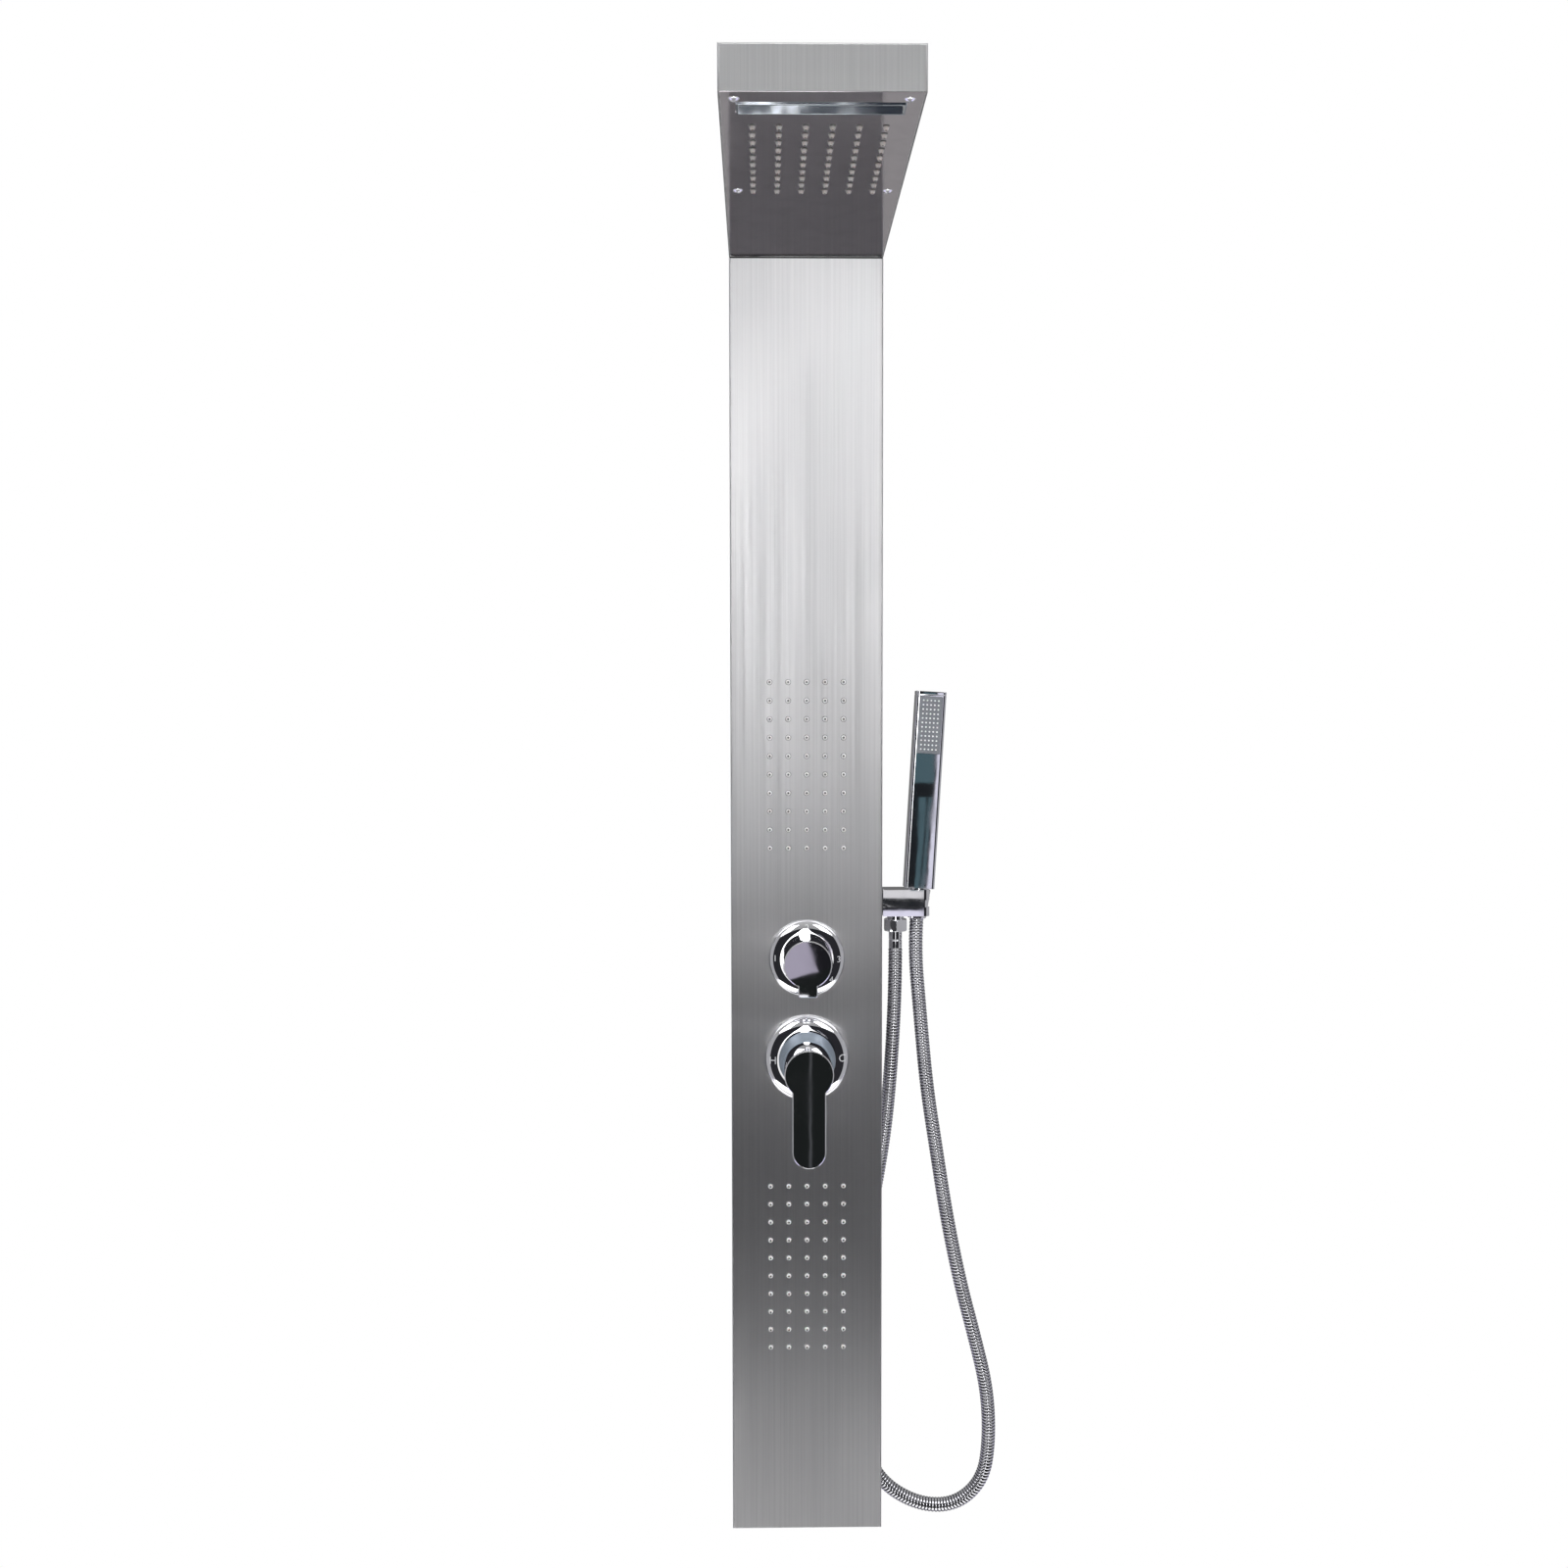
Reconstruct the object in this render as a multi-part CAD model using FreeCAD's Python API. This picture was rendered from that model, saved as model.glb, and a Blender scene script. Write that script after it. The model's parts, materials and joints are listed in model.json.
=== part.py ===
import FreeCAD, Part
import math
import os

# Shower panel column, in millimetres. X runs to the right, Y runs into the wall, Z up.
# The origin is the middle of the upper wall bracket's two screw holes, on the wall.
# "out" is a distance in front of the column's face, "height" one above its lower end.

V = FreeCAD.Vector
RIGHT = V(1, 0, 0)
INWARD = V(0, 1, 0)
OUTWARD = V(0, -1, 0)
UP = V(0, 0, 1)
DOWN = V(0, 0, -1)

# ---- driving dimensions ----------------------------------------------------------

# folded sheet casings
COLUMN_WIDTH = 150.0
COLUMN_HEIGHT = 1266.0
COLUMN_STANDOFF = 50.0
WALL_GAP = 18.0
SHEET = 1.2
SHEET_BEND = 1.5
LIP_WIDTH = 8.0
HEAD_REACH = 400.0
HEAD_THICKNESS = 34.0
CREASE_GAP = 2.0
CREASE_NOTCH = 4.0
PLATE_CLEARANCE = 0.4
GUSSET_THICKNESS = 2.0
GUSSET_DROP = 34.0
GUSSET_REACH = 70.0

# wall brackets and the hangers that hook over them
BRACKET_UPPER_DROP = 86.0
BRACKET_UPPER_HEIGHT = COLUMN_HEIGHT - BRACKET_UPPER_DROP
BRACKET_LOWER_HEIGHT = 90.0
BRACKET_WIDTH = 76.0
BRACKET_PLATE = 40.0
BRACKET_METAL = 2.0
BRACKET_SHELF = 16.0
BRACKET_LIP = 12.0
BRACKET_HOLE_SPACING = 60.0
BRACKET_HOLE_RADIUS = 3.3
HANGER_HEIGHT = 40.0
HANGER_HOOK = 9.7
HANGER_SIDE_GAP = 0.2

# screws of the head plate
PLATE_SCREW_OUT = (190.0, 386.0)
PLATE_SCREW_INSET = 11.5
PLATE_SCREW_RADIUS = 2.0
PLATE_SCREW_HEAD_RADIUS = 4.3
PLATE_SCREW_HEAD_HEIGHT = 2.4
PLATE_SCREW_LENGTH = 4.6
PLATE_SCREW_DOME_RADIUS = 5.805
CROSS_REACH = 2.365
CROSS_HALF_WIDTH = 0.45
CROSS_DEPTH = 1.44
SCREW_CLEARANCE = 0.06
TAB_REACH = 14.0
TAB_LENGTH = 7.6

# silicone nozzle fields with their water chambers
FIELD_MAT = 2.0
FIELD_MARGIN = 2.4
CHAMBER_WALL = 2.2
CHAMBER_DEPTH = 14.0
EAR_WIDTH = 18.0
EAR_LENGTH = 10.0
EAR_THICKNESS = 6.0
STUD_RADIUS = 2.0
STUD_LENGTH = 12.0
STUD_CLEARANCE = 0.1
NUT_FLATS = 7.0
NUT_HEIGHT = 3.2
NOZZLE_CLEARANCE = 0.15
NOZZLE_BORE = 0.6

RAIN_COLUMNS = 6
RAIN_ROWS = 10
RAIN_PITCH_ACROSS = 20.2
RAIN_PITCH_ALONG = 15.9
RAIN_OUT = 263.5
RAIN_NOZZLE = 2.7
RAIN_TIP = 1.7
RAIN_PROUD = 3.4

JET_COLUMNS = 5
JET_ROWS = 10
JET_PITCH_ACROSS = 18.2
JET_PITCH_ALONG = 18.2
JETS_ABOVE_DIVERTER = 191.5
JETS_BELOW_MIXER = 211.6
JET_NOZZLE = 2.7
JET_TIP = 1.7
JET_PROUD = 2.6

# waterfall outlet
SPOUT_WIDTH = 124.5
SPOUT_DEPTH = 19.0
SPOUT_OUT = 370.0
SPOUT_WALL = 1.5
SPOUT_PROUD = 1.8
SPOUT_CEILING = 7.0
SPOUT_CEILING_METAL = 2.0
SPOUT_SLIT = 3.0
SPOUT_FLANGE = 2.0
SPOUT_FLANGE_REACH = 8.6
SPOUT_FLANGE_LAP = 2.5
SPOUT_STUD_INSET = 4.6
SPOUT_CLEARANCE = 0.3
SPOUT_BOX_TOP = 31.5
SPOUT_BOX_WALL = 2.0

# water pipes inside the casings
PIPE_RADIUS = 6.0
PIPE_BORE = 4.0
PIPE_OUT = -16.0
STUB_LENGTH = 10.0
PIPE_FERRULE_LENGTH = 6.4
PIPE_FERRULE_WALL = 0.9
RAIN_PIPE_X = -50.0
WATERFALL_PIPE_X = -64.5
LOWER_PIPE_X = 65.0
LOWER_STUB_RISE = 40.0
PIPE_BEND = 24.0
TIGHT_PIPE_BEND = 9.0

# mixer with a lever that tilts and turns
MIXER_HEIGHT = 480.5
MIXER_BODY_RADIUS = 24.0
MIXER_BODY_DEPTH = 29.0
MIXER_NECK_RADIUS = 21.0
MIXER_NECK_OUT = 14.0
MIXER_CARTRIDGE_RADIUS = 17.5
MIXER_CARTRIDGE_DEPTH = 21.5
MIXER_CARTRIDGE_OUT = 8.0
MIXER_NUT_BORE = 12.5
MIXER_NUT_OUT = 13.0
MIXER_CARRIER_RADIUS = 12.0
MIXER_CARRIER_DEPTH = 8.0
MIXER_CARRIER_OUT = 17.0
MIXER_PIVOT_OUT = 12.0
MIXER_PIN_RADIUS = 2.5
MIXER_PIN_LENGTH = 20.0
MIXER_STEM_WIDTH = 8.0
MIXER_STEM_DEPTH = 11.0
MIXER_STEM_OUT = 62.0
INLET_SPACING = 76.0
INLET_ARM_RADIUS = 9.0
INLET_ARM_DROP = 10.0
INLET_THREAD_RADIUS = 10.48
INLET_THREAD_LENGTH = 16.0
INLET_BORE = 7.0
INLET_ELBOW_RADIUS = 9.6
INLET_DROP_BORE = 5.2
INLET_COLLAR_RADIUS = 12.0
INLET_COLLAR_HEIGHT = 7.0
INLET_COLLAR_DROP = 14.0
CLAMP_NUT_THICKNESS = 6.0
CLAMP_NUT_WALL = 5.5
ESCUTCHEON_EDGE = 2.0
ESCUTCHEON_WALL = 1.6
MIXER_ESCUTCHEON_RADIUS = 42.5
MIXER_ESCUTCHEON_RISE = 12.7
MIXER_ESCUTCHEON_BORE = 27.0
MIXER_ESCUTCHEON_FLAT = 29.5
SLEEVE_FLANGE_RADIUS = 28.0
SLEEVE_RIM_RADIUS = 24.2
SLEEVE_HOLE_RADIUS = 19.0
SLEEVE_DOME_RADIUS = 33.5
SLEEVE_WALL = 1.8
SLEEVE_FOOT_WALL = 2.34
LEVER_RADIUS = 23.5
LEVER_OUT = 76.0
LEVER_THICKNESS = 10.0
LEVER_WIDTH = 32.0
LEVER_LENGTH = 90.0
LEVER_GAP = 0.4
LEVER_EDGE = 0.9
LEVER_SCREW_OUT = 53.0
GRUB_RADIUS = 2.5
GRUB_LENGTH = 8.0
INDEX_RADIUS = 3.4
INDEX_LENGTH = 4.0

# diverter
DIVERTER_ABOVE_MIXER = 99.5
DIVERTER_HEIGHT = MIXER_HEIGHT + DIVERTER_ABOVE_MIXER
DIVERTER_HALF_WIDTH = 24.0
DIVERTER_HALF_HEIGHT = 20.0
DIVERTER_DEPTH = 30.0
DIVERTER_NECK_RADIUS = 14.0
DIVERTER_NECK_OUT = 9.0
DIVERTER_CARTRIDGE_RADIUS = 10.0
DIVERTER_CARTRIDGE_DEPTH = 22.0
DIVERTER_SPINDLE_RADIUS = 4.0
DIVERTER_SPINDLE_DEPTH = 14.0
DIVERTER_SPINDLE_OUT = 34.0
DIVERTER_PORT_X = 18.0
DIVERTER_SIDE_PORT_RISE = 8.0
DIVERTER_ESCUTCHEON_RADIUS = 38.0
DIVERTER_ESCUTCHEON_RISE = 10.0
DIVERTER_ESCUTCHEON_FLAT = 26.0
KNOB_RADIUS = 23.3
KNOB_OUT = 42.0
KNOB_GAP = 1.0
KNOB_RECESS_RADIUS = 20.0
KNOB_FACE = 10.0
KNOB_BOSS_RADIUS = 8.6
KNOB_TAB_WIDTH = 19.0
KNOB_TAB_REACH = 8.7
KNOB_TAB_THICKNESS = 10.0
KNOB_SCREW_OUT = 24.0
KNOB_GRUB_LENGTH = 4.0

# hand shower holder with the hose outlet
HOLDER_ABOVE_DIVERTER = 54.0
HOLDER_HEIGHT = DIVERTER_HEIGHT + HOLDER_ABOVE_DIVERTER
HOLDER_DEPTH_OUT = -16.0
HOLDER_LENGTH = 46.5
HOLDER_HALF_DEPTH = 14.0
HOLDER_TOP_RISE = 13.5
HOLDER_BOTTOM_DROP = 13.0
HOLDER_GROOVE = (-4.0, 3.0)
HOLDER_GROOVE_DEPTH = 2.5
HOLDER_END_RADIUS = 6.0
HOLDER_GASKET = 1.0
HOLDER_THREAD_LENGTH = 9.0
HOLDER_NIPPLE_LENGTH = 15.0
HOLDER_NUT_FLATS = 22.0
HOLDER_NUT_LENGTH = 5.5
OUTLET_X = 14.3
OUTLET_THREAD_RADIUS = 8.33
OUTLET_THREAD_LENGTH = 12.0
OUTLET_BORE = 5.0
SEAT_X = 37.4
SEAT_LEAN = 3.4
SEAT_SLOT = 15.6
SEAT_CLEARANCE = 0.35

# hose, its nuts and ferrules
HOSE_RADIUS = 7.0
HOSE_VALLEY_RADIUS = 6.3
HOSE_BORE = 4.0
HOSE_RIBS = 196
HOSE_CREST_SHARE = 0.42
HOSE_SLOPE_SHARE = 0.16
FERRULE_RADIUS = 6.6
FERRULE_FLANGE_RADIUS = 8.0
FERRULE_FLANGE = 1.6
WASHER_THICKNESS = 1.5
THREAD_CLEARANCE = 0.05
RUNNING_CLEARANCE = 0.05
HEX_NUT_FLATS = 22.0
HEX_NUT_LENGTH = 12.0
HEX_NUT_NECK = 4.0
LOWER_FERRULE_LENGTH = 17.7
CONE_TOP_RADIUS = 12.2
CONE_BOTTOM_RADIUS = 9.3
CONE_LENGTH = 28.5
CONE_TOP_DROP = 1.0
HOSE_END_PROUD = 0.3

# hand shower
HANDSET_WIDTH = 30.0
HANDSET_DEPTH = 22.0
HANDSET_LENGTH = 196.0
HANDSET_GAP = 1.0
HANDSET_CORNER = 3.0
HANDSET_WALL = 2.0
HANDSET_CAP = 3.5
HANDSET_CAP_PLUG = 0.8
HANDSET_FACE_WIDTH = 23.0
HANDSET_FACE_LENGTH = 56.5
HANDSET_FACE_TOP = 1.5
HANDSET_FACE_GAP = 0.1
HANDSET_MAT = 1.5
HANDSET_MAT_LAP = 1.2
HANDSET_CHAMBER_DEPTH = 11.0
HANDSET_CHAMBER_WALL = 1.6
HANDSET_TUBE_RADIUS = 5.0
HANDSET_TUBE_BORE = 3.5
HANDSET_COLUMNS = 5
HANDSET_ROWS = 12
HANDSET_PITCH_ACROSS = 3.75
HANDSET_PITCH_ALONG = 4.4
HANDSET_NOZZLE = 0.9
HANDSET_NOZZLE_PROUD = 0.9
CONNECTOR_THREAD_RADIUS = 10.4
CONNECTOR_THREAD_LENGTH = 11.0
CONNECTOR_BODY_LENGTH = 12.0
CONNECTOR_BODY_RADIUS = 8.8
CONNECTOR_BORE = 6.0

# ---- places worked out from them -------------------------------------------------

JET_UPPER_HEIGHT = DIVERTER_HEIGHT + JETS_ABOVE_DIVERTER
JET_LOWER_HEIGHT = MIXER_HEIGHT - JETS_BELOW_MIXER
HALF_WIDTH = COLUMN_WIDTH / 2
INNER_HALF = HALF_WIDTH - SHEET
FACE_Y = -COLUMN_STANDOFF
REAR_Y = -WALL_GAP
INNER_REAR_Y = REAR_Y - SHEET


def y_at(out):
    """Y of a distance in front of the column's face."""
    return FACE_Y - out


def z_at(height):
    """Z of a height above the column's lower end."""
    return height - BRACKET_UPPER_HEIGHT


HEAD_Z = z_at(COLUMN_HEIGHT)
PLATE_TOP_Z = HEAD_Z + SHEET
HEAD_TOP_Z = HEAD_Z + HEAD_THICKNESS
PIPE_Y = y_at(PIPE_OUT)

# The hose's route (x, y, height) between its two straight ends: down behind the
# column's right flange, out again at the bottom and up toward the hand shower. The
# heights are those of a holder at HOSE_LAYOUT_HEIGHT and follow it where it moves.
HOSE_LAYOUT_HEIGHT = 634.0
HOSE_POINTS = [
    (88.0, -25.0, 500.0),
    (85.6, -13.0, 446.0),
    (81.2, -9.0, 396.0),
    (73.0, -9.0, 344.0),
    (61.5, -9.0, 284.0),
    (53.0, -9.0, 226.0),
    (50.0, -9.0, 168.0),
    (51.0, -9.0, 118.0),
    (58.0, -9.0, 72.0),
    (74.5, -9.5, 28.5),
    (115.0, -12.0, 3.5),
    (155.0, -15.0, 4.5),
    (182.5, -18.5, 32.5),
    (188.2, -21.5, 77.0),
    (185.3, -23.5, 130.5),
    (172.0, -25.5, 185.5),
    (156.0, -28.0, 245.5),
    (142.0, -30.0, 314.0),
    (131.3, -32.0, 382.0),
    (121.0, -33.3, 448.0),
    (114.0, -34.0, 525.0),
]
HOSE_START_RUN = 30.7
HOSE_END_RUN = 32.0
HOSE_RUN_SHARE = 0.45

SEAT_AXIS = V(math.sin(math.radians(SEAT_LEAN)), 0, math.cos(math.radians(SEAT_LEAN)))


# ---- shapes ----------------------------------------------------------------------


def box(x0, x1, y0, y1, z0, z1):
    """A box between two corners given in any order."""
    low = V(min(x0, x1), min(y0, y1), min(z0, z1))
    return Part.makeBox(abs(x1 - x0), abs(y1 - y0), abs(z1 - z0), low)


def rod(radius, start, end):
    """A round bar between two points."""
    axis = end.sub(start)
    return Part.makeCylinder(radius, axis.Length, start, axis)


def tube(outer, inner, start, end):
    """A round tube between two points."""
    return rod(outer, start, end).cut(rod(inner, start, end))


def hex_bar(across_flats, start, end):
    """A hexagonal bar with a corner toward Y where it stands upright."""
    corner = across_flats / math.sqrt(3.0)
    turns = [math.radians(60.0 * k) for k in range(7)]
    outline = Part.makePolygon([V(corner * math.sin(a), corner * math.cos(a), 0) for a in turns])
    axis = end.sub(start)
    bar = Part.Face(outline).extrude(V(0, 0, axis.Length))
    bar.Placement = FreeCAD.Placement(start, FreeCAD.Rotation(UP, axis))
    return bar


def hex_nut(across_flats, bore, start, end):
    """A hexagonal nut with chamfered corners."""
    nut = hex_bar(across_flats, start, end)
    axis = end.sub(start)
    chamfer = across_flats / math.sqrt(3.0) - across_flats / 2
    length = axis.Length
    axis.normalize()
    wide = across_flats / 2 + chamfer
    limits = [rod(wide, start.add(axis * chamfer / 2), end.sub(axis * chamfer / 2))]
    limits.append(Part.makeCone(across_flats / 2, wide, chamfer / 2, start, axis))
    far = start.add(axis * (length - chamfer / 2))
    limits.append(Part.makeCone(wide, across_flats / 2, chamfer / 2, far, axis))
    return nut.common(merged(*limits)).cut(rod(bore, start, end))


def turned(profile, base, axis):
    """A turned piece. A step is a corner (radius, along) or a (middle, end) pair of an arc."""
    here = V(profile[0][0], 0, profile[0][1])
    first = here
    edges = []
    for step in profile[1:]:
        if isinstance(step[0], tuple):
            middle, end = step
            there = V(end[0], 0, end[1])
            edges.append(Part.Arc(here, V(middle[0], 0, middle[1]), there).toShape())
        else:
            there = V(step[0], 0, step[1])
            edges.append(Part.LineSegment(here, there).toShape())
        here = there
    edges.append(Part.LineSegment(here, first).toShape())
    solid = Part.Face(Part.Wire(edges)).revolve(V(0, 0, 0), UP, 360)
    solid.Placement = FreeCAD.Placement(base, FreeCAD.Rotation(UP, axis))
    return solid


def merged(first, *others):
    """One solid out of touching or overlapping solids."""
    if not others:
        return first
    return first.fuse(list(others)).removeSplitter()


def drilled(shape, tools):
    """A shape with all the tools cut away at once."""
    return shape.cut(Part.makeCompound(tools))


def rounded(shape, radius, chosen):
    """Rounds the straight edges whose middle point passes the test."""
    edges = [edge for edge in shape.Edges if chosen(edge.CenterOfMass)]
    return shape.makeFillet(radius, edges)


def near(value, target):
    """True for two equal lengths."""
    return abs(value - target) < 1e-3


def edges_at(shape, y):
    """The edges that lie in the plane at one Y."""
    flat = [edge for edge in shape.Edges if near(edge.BoundBox.YLength, 0)]
    return [edge for edge in flat if near(edge.CenterOfMass.y, y)]


def front(x, height, out):
    """A point in front of (or, with a negative distance, behind) the column's face."""
    return V(x, y_at(out), z_at(height))


def save(name, *solids):
    """Writes one named piece and prints how many solids it has and their volume."""
    shape = solids[0] if len(solids) == 1 else Part.makeCompound(list(solids))
    shape.exportStep(os.path.join("parts", name + ".step"))
    print(f"{name:26s} solids {len(shape.Solids):3d}  volume {shape.Volume:12.1f}  valid {shape.isValid()}")


# ---- nozzle fields ---------------------------------------------------------------


class NozzleField:
    """A grid of silicone nozzles through a sheet, pressed on by its water chamber.

    Its own frame lies on the sheet's inner face: X across, Y along, Z away from the
    sheet into the casing. Its inlet stub points along one of its own directions, and is
    shifted by so much along the edge that it leaves.
    """

    def __init__(self, grid, nozzle, centre, along, inward, stub_way, stub_shift):
        self.columns, self.rows, self.pitch_across, self.pitch_along = grid
        self.nozzle, self.tip, self.proud = nozzle
        self.placement = FreeCAD.Placement(centre, FreeCAD.Rotation(RIGHT, along, inward, "ZXY"))
        self.half_across = (self.columns - 1) * self.pitch_across / 2 + self.margin()
        self.half_along = (self.rows - 1) * self.pitch_along / 2 + self.margin()
        self.stub_way = stub_way
        self.stub_shift = stub_shift

    def margin(self):
        """From the outer nozzles' middles to the mat's edge."""
        return self.nozzle + FIELD_MARGIN

    def spots(self):
        """The nozzles' places on the sheet."""
        for i in range(self.columns):
            for j in range(self.rows):
                x = (i - (self.columns - 1) / 2) * self.pitch_across
                yield V(x, (j - (self.rows - 1) / 2) * self.pitch_along, 0)

    def placed(self, shape):
        """A shape of the field's own frame, moved into the column's."""
        shape.Placement = self.placement.multiply(shape.Placement)
        return shape

    def studs_at(self):
        """The weld studs' places, one past each end of the chamber."""
        reach = self.half_along + EAR_LENGTH / 2
        return [V(0, -reach, 0), V(0, reach, 0)]

    def holes(self):
        """Tools for the nozzle holes in the sheet."""
        radius = self.nozzle + NOZZLE_CLEARANCE
        holes = [rod(radius, spot.sub(UP * 2 * SHEET), spot.add(UP * SHEET)) for spot in self.spots()]
        return [self.placed(hole) for hole in holes]

    def studs(self):
        """The studs welded to the sheet."""
        return [self.placed(rod(STUD_RADIUS, spot, spot.add(UP * STUD_LENGTH))) for spot in self.studs_at()]

    def mat(self):
        """The silicone mat with its nozzles and their bores."""
        plate = box(-self.half_across, self.half_across, -self.half_along, self.half_along, 0, FIELD_MAT)
        nubs = []
        bores = []
        for spot in self.spots():
            face = spot.sub(UP * SHEET)
            end = face.sub(UP * self.proud)
            nubs.append(rod(self.nozzle, spot.add(UP * FIELD_MAT / 2), face))
            nubs.append(Part.makeCone(self.nozzle, self.tip, self.proud, face, DOWN))
            bores.append(rod(NOZZLE_BORE, spot.add(UP * FIELD_MAT), end))
        return self.placed(drilled(merged(plate, *nubs), bores))

    def chamber(self):
        """The water chamber, open toward the mat, with two ears and an inlet stub."""
        top = FIELD_MAT + CHAMBER_DEPTH
        inner_across = self.half_across - CHAMBER_WALL
        inner_along = self.half_along - CHAMBER_WALL
        shell = box(-self.half_across, self.half_across, -self.half_along, self.half_along, FIELD_MAT, top)
        ears = []
        tools = [box(-inner_across, inner_across, -inner_along, inner_along, 0, top - CHAMBER_WALL)]
        for spot in self.studs_at():
            side = math.copysign(1.0, spot.y)
            ears.append(
                box(
                    -EAR_WIDTH / 2,
                    EAR_WIDTH / 2,
                    side * self.half_along,
                    side * (self.half_along + EAR_LENGTH),
                    0,
                    EAR_THICKNESS,
                )
            )
            tools.append(rod(STUD_RADIUS + STUD_CLEARANCE, spot, spot.add(UP * EAR_THICKNESS)))
        start = self.stub_start()
        end = start.add(self.stub_way * STUB_LENGTH)
        inside = start.sub(self.stub_way * 2 * CHAMBER_WALL)
        ears.append(rod(PIPE_RADIUS, start, end))
        tools.append(rod(PIPE_BORE, inside, end))
        return self.placed(drilled(merged(shell, *ears), tools))

    def stub_start(self):
        """Where the inlet stub leaves the chamber, in the field's own frame."""
        way = self.stub_way
        x = way.x * self.half_across + abs(way.y) * self.stub_shift
        y = way.y * self.half_along + abs(way.x) * self.stub_shift
        return V(x, y, FIELD_MAT + CHAMBER_DEPTH / 2)

    def stub_tip(self):
        """The end of the inlet stub, where the pipe starts."""
        return self.placement.multVec(self.stub_start().add(self.stub_way * STUB_LENGTH))

    def nuts(self):
        """The two nuts that clamp the ears."""
        low = UP * EAR_THICKNESS
        high = UP * (EAR_THICKNESS + NUT_HEIGHT)
        bore = STUD_RADIUS + THREAD_CLEARANCE
        nuts = [hex_nut(NUT_FLATS, bore, spot.add(low), spot.add(high)) for spot in self.studs_at()]
        return [self.placed(nut) for nut in nuts]


FIELD_ACROSS = V(1, 0, 0)
FIELD_ALONG = V(0, 1, 0)

RAIN = NozzleField(
    (RAIN_COLUMNS, RAIN_ROWS, RAIN_PITCH_ACROSS, RAIN_PITCH_ALONG),
    (RAIN_NOZZLE, RAIN_TIP, RAIN_PROUD),
    V(0, y_at(RAIN_OUT), PLATE_TOP_Z),
    INWARD,
    UP,
    FIELD_ALONG,
    RAIN_PIPE_X,
)
UPPER_JETS = NozzleField(
    (JET_COLUMNS, JET_ROWS, JET_PITCH_ACROSS, JET_PITCH_ALONG),
    (JET_NOZZLE, JET_TIP, JET_PROUD),
    front(0, JET_UPPER_HEIGHT, -SHEET),
    DOWN,
    INWARD,
    FIELD_ALONG,
    DIVERTER_PORT_X,
)
LOWER_JETS = NozzleField(
    (JET_COLUMNS, JET_ROWS, JET_PITCH_ACROSS, JET_PITCH_ALONG),
    (JET_NOZZLE, JET_TIP, JET_PROUD),
    front(0, JET_LOWER_HEIGHT, -SHEET),
    DOWN,
    INWARD,
    FIELD_ACROSS,
    -LOWER_STUB_RISE,
)


# ---- casings ---------------------------------------------------------------------


def spout_studs():
    """Places of the two studs that hold the waterfall outlet."""
    reach = SPOUT_WIDTH / 2 + SPOUT_STUD_INSET
    return [V(side * reach, y_at(SPOUT_OUT), PLATE_TOP_Z) for side in (-1, 1)]


def plate_screw_spots():
    """Places of the head plate's four screws, on the plate's lower face."""
    reach = HALF_WIDTH - PLATE_SCREW_INSET
    return [V(side * reach, y_at(out), HEAD_Z) for out in PLATE_SCREW_OUT for side in (-1, 1)]


def make_column_casing():
    """The folded front channel with its lower end, rear lips, holes and studs."""
    low = z_at(0)
    shell = box(-HALF_WIDTH, HALF_WIDTH, FACE_Y, REAR_Y, low, HEAD_Z)
    shell = rounded(shell, SHEET_BEND, lambda m: near(m.y, FACE_Y) and not near(m.z, HEAD_Z))
    hollow = box(-INNER_HALF, INNER_HALF, FACE_Y + SHEET, REAR_Y, low + SHEET, HEAD_Z)
    shell = shell.cut(hollow)
    lips = []
    for side in (-1, 1):
        edge = side * INNER_HALF
        lips.append(box(edge, edge - side * LIP_WIDTH, INNER_REAR_Y, REAR_Y, low, HEAD_Z))
    studs = UPPER_JETS.studs() + LOWER_JETS.studs()
    shell = merged(shell, *lips, *studs)
    tools = UPPER_JETS.holes() + LOWER_JETS.holes()
    notch_y = FACE_Y + CREASE_NOTCH
    tools.append(box(-HALF_WIDTH, HALF_WIDTH, FACE_Y, notch_y, HEAD_Z - CREASE_GAP, HEAD_Z))
    for radius, height in ((MIXER_NECK_RADIUS, MIXER_HEIGHT), (DIVERTER_NECK_RADIUS, DIVERTER_HEIGHT)):
        tools.append(rod(radius + PLATE_CLEARANCE, front(0, height, SHEET), front(0, height, -2 * SHEET)))
    inlet = V(INNER_HALF - SHEET, y_at(HOLDER_DEPTH_OUT), z_at(HOLDER_HEIGHT))
    outside = V(HALF_WIDTH + SHEET, inlet.y, inlet.z)
    tools.append(rod(OUTLET_THREAD_RADIUS + PLATE_CLEARANCE, inlet, outside))
    save("column_casing", drilled(shell, tools))


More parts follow.
